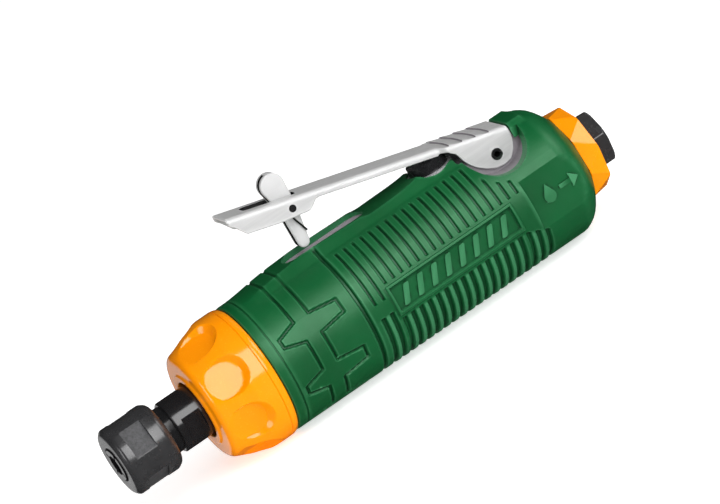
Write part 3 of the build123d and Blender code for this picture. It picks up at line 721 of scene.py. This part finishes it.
def sleeve_openings():
    """Solids of the latch slot, the valve hole and the lever's well and side pockets."""
    tools = [prism("slot", stadium((SLOT_X, 0), SLOT_LENGTH, SLOT_WIDTH), 15.0, 26.0, "Z"),
             prism("valve_hole", circle((VALVE_X, 0), WELL_R), 15.0, 26.0, "Z")]
    (low, high), half = LEVER_WELL, LEVER_WELL_HALF
    for side in (1, -1):
        tools.append(side_prism("pocket", circle(POCKET, POCKET_R, 96), side, half - 0.3, 26.0))
    well = soften([(low, -half), (high, -half), (high, half), (low, half)], 1.0)
    tools.append(prism("well", well, 15.0, 26.0, "Z"))
    return tools


def build_sleeve():
    x = sleeve_stations()[:, None]
    angles = sleeve_angles()[None, :]
    outer = polar(x, sleeve_radius(x, angles), angles)
    bore = [(158.4, 13.4), (158.1, 13.1), (156.7, 13.1), (154.6, 16.05), (151.0, SLEEVE_BORE_R),
            (128.0, SLEEVE_BORE_R), (105.0, SLEEVE_BORE_R), (76.0, SLEEVE_BORE_R),
            (48.9, SLEEVE_BORE_R), (48.7, SLEEVE_BORE_R + 0.2)]
    inner = polar(*columns(bore), angles)
    sleeve = ring_shell("grip_sleeve_moulded", np.concatenate([outer, inner]), 40)
    carve(sleeve, sleeve_openings())
    for side in (1, -1):
        carve(sleeve, panel_bars(side) + flat_pictogram(side), "UNION")
    shade(sleeve, 20)
    finish_piece(sleeve, "root", "green_grip", "grip_sleeve")


def build_slot_liner():
    """Rim of the housing that shows as a grey strip low on the latch slot's walls."""
    rims = []
    for inset, level in ((0.05, 17.97), (0.05, LINER_TOP), (0.50, LINER_TOP), (0.60, 17.97)):
        rims.append([(x, y, level) for x, y in stadium((SLOT_X, 0), SLOT_LENGTH - 2 * inset,
                                                       SLOT_WIDTH - 2 * inset)])
    liner = ring_shell("slot_liner_cast", rims)
    finish_piece(liner, "root", "housing_alloy")


# ---- Front cap ----
SCOOPS = 8
SCOOP_FIRST = 18.9
SCOOP_X = 36.0
SCOOP_FLOOR = 17.7
SCOOP_FLOOR_R = 5.1
SCOOP_WALL_SLOPE = 1.2
SCOOP_LEAN = 0.13
SCOOP_FRONT_STRETCH = 0.55
SCOOP_REACH = 9.0
SCOOP_FRONT = 29.0
CAP_LIP_R = 11.0


def scooped(points):
    """Press the finger scoops into points on the cap's outside."""
    points = points.copy()
    for k in range(SCOOPS):
        angle = radians(SCOOP_FIRST + 360 / SCOOPS * k)
        away = np.array([0.0, -sin(angle), cos(angle)])
        lean = away + np.array([-SCOOP_LEAN, 0.0, 0.0])
        lean /= np.linalg.norm(lean)
        seat = np.array([SCOOP_X, 0, 0]) + away * SCOOP_FLOOR
        offset = points - seat
        height = offset @ lean
        flat = offset - height[..., None] * lean
        flat[..., 0] *= np.where(flat[..., 0] < 0, SCOOP_FRONT_STRETCH, 1.0)
        across = np.linalg.norm(flat, axis=-1)
        wall = np.maximum(across - SCOOP_FLOOR_R, 0) * SCOOP_WALL_SLOPE
        lowered = soft_min(height, wall, 0.12)
        near = (across < SCOOP_REACH) & (height > -0.6) & (points[..., 0] > SCOOP_FRONT)
        drop = np.where(near, np.clip(height - lowered, 0, None), 0.0)
        points -= drop[..., None] * lean
    return points


def build_cap():
    """Front cap: its scooped skin is finely divided, and the rest of it is a plain lathe."""
    nose = soften([(33.0, 9.0), (27.9, 9.0), (27.9, 11.0), (28.5, 11.6), (28.5, 15.2),
                   (29.4, 16.7), (34.9, 19.2), (40.3, 20.85), (45.9, 20.88)], 0.7, 5, closed=False)
    skin_start = next(k for k, point in enumerate(nose) if point[1] > CAP_LIP_R)
    skin = divide(nose[skin_start:], 0.35)
    lip = [(46.1, 20.62), (46.3, 20.85), (47.2, 20.75), (47.9, 20.5), (48.35, 20.1), (48.5, 19.6)]
    back = [(48.5, 16.45), (36.8, 16.45), (36.8, 10.9), (38.0, 10.9), (38.0, 9.9), (33.0, 9.9)]
    outline = nose[:skin_start] + skin + lip + back
    points = polar(*columns(outline), np.array(spread(0, 360, 0.9)[:-1])[None, :])
    outside = slice(skin_start, skin_start + len(skin))
    points[outside] = scooped(points[outside])
    cap = ring_shell("front_cap_moulded", points, 26)
    finish_piece(cap, "root", "orange_plastic", "front_cap")


# ---- Collet nut and spindle ----
NUT_FLAT = 9.6
NUT_FLAT_X = (4.1, 10.97)
NUT_FLAT_FIRST = 57.0
SPINDLE_R = 8.06
SPINDLE_FLAT = 7.0
SPINDLE_FLAT_X = (21.0, 27.0)
SPINDLE_FLAT_ANGLES = (100, 280)
NO_LIMIT = 99.0


def flats_limit(angles, distance, start, end):
    """Radius limit of wrench flats between two stations."""
    def limit(x, angle):
        off = np.radians((angle - np.array(angles)[:, None, None] + 180) % 360 - 180)
        plane = np.where(np.abs(off) < 1.2, distance / np.maximum(np.cos(off), 0.3), NO_LIMIT)
        return np.where((x > start) & (x < end), plane.min(axis=0), NO_LIMIT)
    return limit


def insert_stations(outline, values, radius):
    """Put points at the given stations into an outline's outer run, before the first past it."""
    at = next(k for k, point in enumerate(outline) if point[0] > values[0])
    return outline[:at] + [np.array((x, radius)) for x in values] + outline[at:]


def build_nut():
    radius = NUT_HIGH.z
    outline = soften([(0.3, 5.5), (0.3, 9.3), (1.5, radius), (14.4, radius), (16.0, 9.7),
                      (16.5, 8.4), (16.5, 7.2), (6.0, 7.2), (6.0, 6.45), (4.1, 6.45), (1.1, 5.25)],
                     0.55, 5)
    start, end = NUT_FLAT_X
    outline = insert_stations(outline, (4.06, 4.12, 10.95, 11.0), radius)
    angles = [NUT_FLAT_FIRST + 90 * k for k in range(4)]
    nut = lathe("collet_nut_turned", outline, spread(0, 360, 1.5)[:-1],
                flats_limit(angles, NUT_FLAT, start, end))

    def on_flat(centre, normal):
        away = max(centre.z * cos(radians(a)) - centre.y * sin(radians(a)) for a in angles)
        return int(start < centre.x < end - 0.02 and abs(away - NUT_FLAT) < 0.02)

    paint(nut, [MATERIALS["dark_steel"], ROUGH_STEEL], on_flat)
    finish_piece(nut, "collet_nut", "dark_steel", "collet_nut")


def build_spindle():
    outline = soften([(6.5, 6.05), (6.5, 6.8), (7.0, 7.15), (18.7, 7.15), (18.7, 7.7),
                      (19.1, SPINDLE_R), (36.0, SPINDLE_R), (36.0, 5.9), (38.0, 5.9), (38.0, 4.0),
                      (24.0, 4.0), (22.0, 3.4), (17.2, 3.4), (17.2, 4.78)], 0.15, 3)
    start, end = SPINDLE_FLAT_X
    stops = (start - 0.04, start + 0.04, end - 0.04, end + 0.04)
    spindle = lathe("spindle_turned", insert_stations(outline, stops, SPINDLE_R),
                    spread(0, 360, 2)[:-1],
                    flats_limit(SPINDLE_FLAT_ANGLES, SPINDLE_FLAT, start, end))
    finish_piece(spindle, "spindle", "black_steel", "spindle")


# ---- Throttle lever ----
LEVER_SHEET = 1.2
LEVER_TOP = [(61.1, 43.15), (125.7, 25.6), (145.4, 20.5)]
LEVER_DEPTH = [(61.1, 2.0), (62.4, 2.9), (64.8, 5.8), (74.2, 5.9), (83.4, 5.2), (84.4, 4.8),
               (86.9, 2.4), (87.6, 2.1), (124.0, 2.1), (124.6, 1.62), (126.6, 1.62), (127.2, 2.3),
               (128.2, 2.8), (128.8, 4.1), (129.4, 5.9), (130.2, 7.3), (131.8, 8.9), (134.2, 10.2),
               (136.9, 11.0), (139.6, 10.7), (142.0, 9.6), (143.7, 7.4), (144.7, 5.1), (145.4, 2.9)]
LEVER_BEND = 1.5
LEVER_RIM = 0.3
LEVER_HALF = (6.25, 8.0)
LEVER_WIDENS = (124.8, 126.8)
SHINGLES = (128.0, 132.1, 136.2, 140.3)
SHINGLE_PITCH = 4.1
SHINGLE_DEPTH = 0.55
SHINGLE_RISER = 0.16
SHINGLE_BOW = 1.8
SHINGLE_CREST = -0.4
SHINGLE_REACH = 0.9
SHINGLE_FADE_IN, SHINGLE_FADE_OUT = (124.0, 127.5), (141.5, 145.0)
TAB_SLOT = (67.8, 83.7)
TAB_SLOT_HALF = 2.5
TAB_SLOT_LOWEST = 36.0
LEVER_PIN_HOLE_R = 1.75
LATCH_PIN_HOLE_R = 1.12


def lever_section(half, depth, inset):
    """Closed cross-section of the bent sheet, (y, height below the top), starting at one edge."""
    paths = []
    for offset in (inset, LEVER_SHEET - inset):
        bend = LEVER_BEND - offset
        side = half - offset
        wall = [(-side, -depth + inset + (depth - LEVER_BEND) * k / 6)
                for k in range(6)]
        turn = [(-(half - LEVER_BEND) - bend * cos(a), -LEVER_BEND + bend * sin(a))
                for a in np.linspace(0, pi / 2, 6)]
        top = [(y, -offset) for y in np.linspace(-(half - LEVER_BEND), half - LEVER_BEND, 27)[1:-1]]
        left = wall + turn
        right = [(-y, z) for y, z in reversed(left)]
        paths.append(left + top + right)
    outer, inner = paths
    rim = LEVER_RIM
    start = [(inner[0][0] - rim, inner[0][1] - rim), (outer[0][0] + rim, outer[0][1] - rim)]
    end = [(-y, z) for y, z in reversed(start)]
    return outer + end + inner[::-1] + start


def shingle_bow(x, y, half):
    """How far the stamped steps curve towards the nose, most of all at the far side."""
    window = smooth_step(*SHINGLE_FADE_IN, x) * (1 - smooth_step(*SHINGLE_FADE_OUT, x))
    return -SHINGLE_BOW * ((y / half - SHINGLE_CREST) / (1 - SHINGLE_CREST)) ** 2 * window


def shingle_drop(x, y, half):
    """Depth of the stamped steps near the lever's rear: a slope down to each, then a riser."""
    ahead = np.array(SHINGLES) - x
    riser = smooth_step(-SHINGLE_RISER, 0.0, ahead)
    slope = 1 - smooth_step(0.2, 0.85 * SHINGLE_PITCH, ahead)
    return SHINGLE_DEPTH * (riser * slope).sum() * (1 - smooth_step(0.84, 0.95, abs(y) / half))


def lever_face(centre, normal):
    """0 on plain sheet, 1 on the tab slot's sheared edges, which are black, 2 on the stamped steps' risers, a
    darker grey that is painted shade.
    """
    if centre.x > SHINGLES[0] - 1.0 and abs(normal.x) > 0.85 and centre.z > LEVER_TOP[-1][1] - 0.1:
        return 2
    in_slot = TAB_SLOT[0] - 1.8 < centre.x < TAB_SLOT[1] + 1.3 and centre.z > TAB_SLOT_LOWEST
    return int(in_slot and abs(centre.y) < TAB_SLOT_HALF + 0.02 and abs(normal.z) < 0.3)


def build_lever():
    cross = stations(spread(61.1, 65.0, 0.4), spread(65.0, 88.0, 1.0), spread(88.0, 124.0, 3.0),
                     spread(124.0, 145.4, 0.4), [x + SHINGLE_RISER for x in SHINGLES], SHINGLES)
    loops = []
    for k, x in enumerate(cross):
        half = np.interp(smooth_step(*LEVER_WIDENS, x), (0, 1), LEVER_HALF)
        inset = LEVER_RIM if k in (0, len(cross) - 1) else 0.0
        loop = []
        for y, z in lever_section(half, height_on(LEVER_DEPTH, x), inset):
            stamped = float(z > -SHINGLE_REACH)
            along = x + stamped * shingle_bow(x, y, half)
            drop = stamped * shingle_drop(x, y, half)
            loop.append((along, y, height_on(LEVER_TOP, along) + z - drop))
        loops.append(loop)
    loops = np.array(loops)
    count, around = loops.shape[:2]
    faces = quads(count, around)
    faces += [list(range(around)), list(range((count - 1) * around, count * around))]
    lever = mesh_object("lever_pressed", loops.reshape(-1, 3), faces)
    tab_slot = soften([(TAB_SLOT[0], -TAB_SLOT_HALF), (TAB_SLOT[1], -TAB_SLOT_HALF),
                       (TAB_SLOT[1], TAB_SLOT_HALF), (TAB_SLOT[0], TAB_SLOT_HALF)], 1.6, 6)
    tools = [prism("tab_slot", tab_slot, 30.0, 46.0, "Z")]
    for pivot, radius in ((LEVER_PIVOT, LEVER_PIN_HOLE_R), (LATCH_PIVOT, LATCH_PIN_HOLE_R)):
        tools.append(prism("pin_hole", circle((pivot.x, pivot.z), radius, 32), -10.0, 10.0))
    carve(lever, tools)
    # The risers take the darker housing_alloy grey as painted shade under each stamped step.
    paint(lever, [MATERIALS[slot] for slot in ("lever_plate", "black_steel", "housing_alloy")],
          lever_face)
    shade(lever, 32)
    finish_piece(lever, "lever", "lever_plate", "lever")


# ---- Latch ----
LATCH_BARREL_R = 2.6
LATCH_FOOT, LATCH_FOOT_R = (78.8, 24.0), 1.8
LATCH_HEAD, LATCH_HEAD_R = (78.9, 42.5), 3.6
LATCH_RIM = 0.22
LATCH_PLATE = 1.0
LATCH_FOLD_PLATE = 1.3
LATCH_HOLE_R = 1.15


def exit_distance(outline, centre, direction):
    """How far a ray from inside a convex outline goes before it leaves."""
    start = np.array(outline) - centre
    edge = np.roll(start, -1, axis=0) - start
    across = np.column_stack([edge[:, 1], -edge[:, 0]])
    reach = (across * start).sum(axis=1) / (across @ direction + 1e-12)
    return reach[reach > 0].min()


def latch_outline(shrink=0.0):
    """Side view of the latch: a leg with a round foot, and a round thumb tab."""
    pivot = (LATCH_PIVOT.x, LATCH_PIVOT.z)
    shapes = []
    for end, radius in ((LATCH_FOOT, LATCH_FOOT_R), (LATCH_HEAD, LATCH_HEAD_R)):
        points = circle(pivot, LATCH_BARREL_R - shrink, 72) + circle(end, radius - shrink, 72)
        shapes.append([points[k] for k in convex_hull_2d(points)])
    outline = []
    for angle in np.arange(0, 360, 2.5):
        direction = (cos(radians(angle)), sin(radians(angle)))
        reach = max(exit_distance(shape, pivot, direction) for shape in shapes)
        outline.append((pivot[0] + reach * direction[0], pivot[1] + reach * direction[1]))
    return outline


def rounded_plate(name, edge_outline, face_outline, start, end, edge):
    """Plate along Y whose rims are rounded: the faces are a little smaller than the middle."""
    rims = [(face_outline, start), (edge_outline, start + edge), (edge_outline, end - edge),
            (face_outline, end)]
    count = len(edge_outline)
    points = [(x, y, z) for outline, y in rims for x, z in outline]
    faces = [list(range(count)), list(range(3 * count, 4 * count))]
    return mesh_object(name, points, faces + quads(len(rims), count))


def build_latch():
    low, high = LATCH_LOW.y, LATCH_HIGH.y
    latch = rounded_plate("latch_folded", latch_outline(), latch_outline(LATCH_RIM), low, high,
                          LATCH_RIM)
    gaps = [prism("gap", outline, low + plate, high - plate) for outline, plate in (
        ([(70, 10), (90, 10), (90, 40.6), (70, 40.6)], LATCH_PLATE),
        ([(70, 36), (78.6, 36), (78.6, 50), (70, 50)], LATCH_FOLD_PLATE))]
    hole = prism("hole", circle((LATCH_PIVOT.x, LATCH_PIVOT.z), LATCH_HOLE_R, 32), -6.0, 6.0)
    carve(latch, gaps + [hole])
    # The plates' inner faces are painted black: painted shade in the gap between the two plates.
    paint(latch, [MATERIALS["lever_plate"], MATERIALS["black_steel"]],
          lambda at, normal: int(abs(at.y) < high - LATCH_PLATE + 0.1 and abs(normal.y) > 0.9))
    shade(latch, 40)
    finish_piece(latch, "latch", "lever_plate", "latch")


# ---- Exhaust ring and air inlet ----
RING_FRONT = 158.7
RING_RIMS = ((14.0, 2.0), (13.2, 20.0))
RING_FIRST = 60.0
RING_FACETS = 8
RING_BORE_R = 8.66
BORE_STEPS = 3
CHAMBER_R = 12.2
VENT_CIRCLE_R, VENT_R, VENTS = 10.8, 0.9, 12


def build_exhaust_ring():
    """Two rims of uneven corners, joined by slanted facets, round a plain bore."""
    count = 2 * RING_FACETS
    inner = count * BORE_STEPS
    rear = RING_HIGH.x
    points = []
    for x, (radius, half_angle) in zip((RING_FRONT, rear), RING_RIMS):
        points += [tuple(polar(x, radius, RING_FIRST + 360 / RING_FACETS * k + offset))
                   for k in range(RING_FACETS) for offset in (-half_angle, half_angle)]
    for x in (RING_FRONT, rear):
        points += [tuple(polar(x, RING_BORE_R, RING_FIRST - 11 + 360 * k / inner))
                   for k in range(inner)]
    faces = []
    for k in range(count):
        after = (k + 1) % count
        faces.append([k, after, count + after, count + k])
        span = [(BORE_STEPS * k + n) % inner for n in range(BORE_STEPS, -1, -1)]
        faces.append([k, after] + [2 * count + n for n in span])
        faces.append([count + k, count + after] + [2 * count + inner + n for n in span])
    faces += (np.array(quads(2, inner)) + 2 * count).tolist()
    ring = mesh_object("exhaust_ring_facetted", points, faces)
    bevel(ring, 0.14, 2, 5)
    around = spread(0, 360, 5)[:-1]
    spigot = [(156.8, CHAMBER_R), (156.8, 12.8), (159.0, 12.8), (159.0, CHAMBER_R)]
    carve(ring, [lathe("spigot", spigot, around)], "UNION")
    chamber = [(158.0, 9.4), (158.0, CHAMBER_R), (163.2, CHAMBER_R), (163.2, 9.4)]
    vents = [prism("vent", circle(tuple(polar(0, VENT_CIRCLE_R, 360 / VENTS * k)[1:]), VENT_R, 20),
                   162.0, 166.0, "X") for k in range(VENTS)]
    carve(ring, [lathe("chamber", chamber, around)] + vents)
    shade(ring, 7)
    finish_piece(ring, "exhaust_ring", "orange_plastic", "exhaust_ring")


HEX_FLAT = 8.0
HEX_CORNER = 9.16
HEX_FIRST = 44.2
HEX_START = 164.85


def hex_limit(x, angle):
    """Hexagon of the inlet with slightly rounded corners and a turned chamfer at its end."""
    off = (angle - HEX_FIRST + 30) % 60 - 30
    flat = soft_min(HEX_FLAT / np.cos(np.radians(off)), HEX_CORNER, 0.12)
    chamfer = 8.35 + (INLET_HIGH.x - x) * 1.1
    return np.where(x > HEX_START, soft_min(flat, chamfer, 0.1), NO_LIMIT)


def build_inlet():
    outline = [(141.0, 6.2), (141.0, 8.0), (156.5, 8.0), (156.5, 8.6), (164.8, 8.6), (164.9, 9.3)]
    outline += [(x, 9.3) for x in (166.0, 168.0, 168.8, 169.2, 169.5, 169.8, 169.95)]
    outline += [(170.0, 9.2), (170.0, 6.3), (169.3, 5.6), (158.0, 5.6), (158.0, 4.5), (146.0, 4.5),
                (146.0, 6.2)]
    inlet = lathe("inlet_bushing_turned", outline, spread(0, 360, 1.25)[:-1], hex_limit, 24)
    finish_piece(inlet, "root", "dark_steel", "inlet_bushing")


# ---- Latch spring ----
def wire(name, path, radius, sides=10):
    """Round wire through points, with closed ends."""
    path = [Vector(p) for p in path]
    rings = []
    normal = None
    for k, point in enumerate(path):
        ahead = path[min(k + 1, len(path) - 1)] - path[max(k - 1, 0)]
        ahead.normalize()
        if normal is None:
            normal = ahead.orthogonal().normalized()
        normal = (normal - ahead * normal.dot(ahead)).normalized()
        other = ahead.cross(normal)
        rings.append([point + radius * (cos(a) * normal + sin(a) * other)
                      for a in (2 * pi * n / sides for n in range(sides))])
    points = [tuple(p) for ring in rings for p in ring]
    ends = [list(range(sides)), list(range(len(points) - sides, len(points)))]
    return mesh_object(name, points, quads(len(rings), sides) + ends, 50)


def build_latch_spring():
    coil_r, wire_r = 1.6, 0.3
    turns = 2.5
    coil = []
    for share in np.linspace(0, 1, 61):
        angle = 2 * pi * turns * share
        coil.append((LATCH_PIVOT.x + coil_r * cos(angle), -4.75 + 1.8 * share,
                     LATCH_PIVOT.z - coil_r * sin(angle)))
    low_end = (81.1, -2.5, 26.4)
    high_end = (84.6, -4.6, 34.6)
    path = [high_end, (82.4, -4.72, 35.2)] + coil[4:-4] + [(79.4, -2.85, 31.0), low_end]
    spring = wire("latch_spring_wound", path, wire_r)
    spring.data.materials.append(MATERIALS["black_steel"])
    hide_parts("latch_spring")
    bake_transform(spring)


# ---- Valve spring ----
COIL_R, COIL_WIRE_R = 2.6, 0.4
COIL_Z = (-13.1, -4.6)
COIL_TURNS = 5


def build_valve_spring():
    """Coil under the valve's head, which on the real tool shortens as the lever is pressed; here it is one fixed
    mesh.
    """
    low, high = COIL_Z
    path = []
    for share in np.linspace(0, 1, 24 * COIL_TURNS + 1):
        angle = 2 * pi * COIL_TURNS * share
        path.append((VALVE_X + COIL_R * cos(angle), COIL_R * sin(angle),
                     low + (high - low) * share))
    spring = wire("valve_spring_coiled", path, COIL_WIRE_R)
    finish_piece(spring, "root", "bright_steel", "valve_spring")
    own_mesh(spring)


# ---- Studio ----
CAMERA_AZIMUTH = -14.6
CAMERA_ELEVATION = 16.7
CAMERA_ROLL = 30.0
CAMERA_LENS = 260.0
SENSOR = 36.0
VIEW_WIDTH = 203.7
VIEW_MIDDLE = Vector((91.8, 0.0, 11.4))
CAP_MIDDLE = Vector((30.0, 0.0, 8.0))
FLOOR_GLOW = 0.60
FLOOR_HALF = 6000.0
FLOOR_GAP = 0.05
SKY_POWER = 0.75
SKY_SPREAD = 70.0
SKY_TOWARDS = (-0.15, -0.35, 0.92)
WORLD_LIGHT = 0.18
WORLD_REFLECTED = 0.02
WHITE = (1, 1, 1, 1)
# Name, direction, distance, width and height in metres, power in watts, and what it shines at.
AREA_LIGHTS = (("key", (0.165, -0.85, 0.50), 0.8, 0.56, 0.64, 5.2, VIEW_MIDDLE),
               ("front", (-0.93, -0.30, 0.30), 0.8, 0.30, 0.40, 1.3, VIEW_MIDDLE),
               ("side", (0.80, -0.33, 0.48), 0.8, 0.36, 0.44, 1.7, VIEW_MIDDLE),
               ("low_card", (-0.26, 0.92, -0.28), 0.45, 0.24, 0.24, 0.09, CAP_MIDDLE))


def build_camera():
    """Camera that looks at the tool's middle, rolled about its own axis."""
    az, el, roll = (radians(v) for v in (CAMERA_AZIMUTH, CAMERA_ELEVATION, CAMERA_ROLL))
    back = Vector((sin(az) * cos(el), -cos(az) * cos(el), sin(el)))
    level = Vector((cos(az), sin(az), 0))
    upright = back.cross(level)
    right = cos(roll) * level - sin(roll) * upright
    up = back.cross(right)
    data = bpy.data.cameras.new("camera")
    data.lens = CAMERA_LENS
    data.sensor_width = SENSOR
    camera = new_object("camera", data)
    turned = Matrix((right, up, back)).transposed().to_4x4()
    distance = VIEW_WIDTH * CAMERA_LENS / SENSOR
    turned.translation = (VIEW_MIDDLE + back * distance) * MM
    camera.matrix_world = turned
    bpy.context.scene.camera = camera


def area_light(name, towards, distance, width, height, power, target):
    """Soft rectangular light that shines at a point from a direction."""
    data = bpy.data.lights.new(name, "AREA")
    data.shape = "RECTANGLE"
    data.size = width
    data.size_y = height
    data.energy = power
    light = new_object(name, data)
    away = Vector(towards).normalized()
    light.location = target * MM + away * distance
    light.rotation_euler = away.to_track_quat("Z", "Y").to_euler()


def build_floor():
    floor_shader = Shader("studio_floor", specular=0.2)
    tone = floor_shader.noise(0.25, detail=2)
    floor_shader.colour(floor_shader.ramp(tone, (0.3, 0.88), (0.7, 0.90)))
    floor_shader.roughness(floor_shader.noise(0.02), 0.6, 0.7)
    set_inputs(floor_shader.surface, {"Emission Color": WHITE, "Emission Strength": FLOOR_GLOW})
    level = CAD_BOX[0][2] / MM - FLOOR_GAP
    corners = [(x * FLOOR_HALF, y * FLOOR_HALF, level)
               for x, y in ((-1, -1), (1, -1), (1, 1), (-1, 1))]
    floor = mesh_object("studio_floor", corners, [(0, 1, 2, 3)])
    floor.data.materials.append(floor_shader.material)
    floor.visible_glossy = False


def build_lights():
    for row in AREA_LIGHTS:
        area_light(*row)
    sun = bpy.data.lights.new("sky", "SUN")
    sun.energy = SKY_POWER
    sun.angle = radians(SKY_SPREAD)
    sky = new_object("sky", sun)
    sky.rotation_euler = Vector(SKY_TOWARDS).to_track_quat("Z", "Y").to_euler()
    sky.visible_glossy = False
    world = bpy.data.worlds.new("studio")
    world.use_nodes = True
    nodes, links = world.node_tree.nodes, world.node_tree.links
    set_inputs(nodes["Background"], {"Color": WHITE, "Strength": WORLD_LIGHT})
    dim = nodes.new("ShaderNodeBackground")
    set_inputs(dim, {"Color": WHITE, "Strength": WORLD_REFLECTED})
    choose = nodes.new("ShaderNodeMixShader")
    links.new(nodes.new("ShaderNodeLightPath").outputs["Is Glossy Ray"], choose.inputs["Fac"])
    links.new(nodes["Background"].outputs["Background"], choose.inputs[1])
    links.new(dim.outputs["Background"], choose.inputs[2])
    links.new(choose.outputs["Shader"], nodes["World Output"].inputs["Surface"])
    bpy.context.scene.world = world
    bpy.context.scene.view_settings.view_transform = "Standard"


dress_cad_nodes()
build_sleeve()
build_slot_liner()
build_cap()
build_nut()
build_spindle()
build_lever()
build_latch()
build_exhaust_ring()
build_inlet()
build_latch_spring()
build_valve_spring()
build_camera()
build_floor()
build_lights()
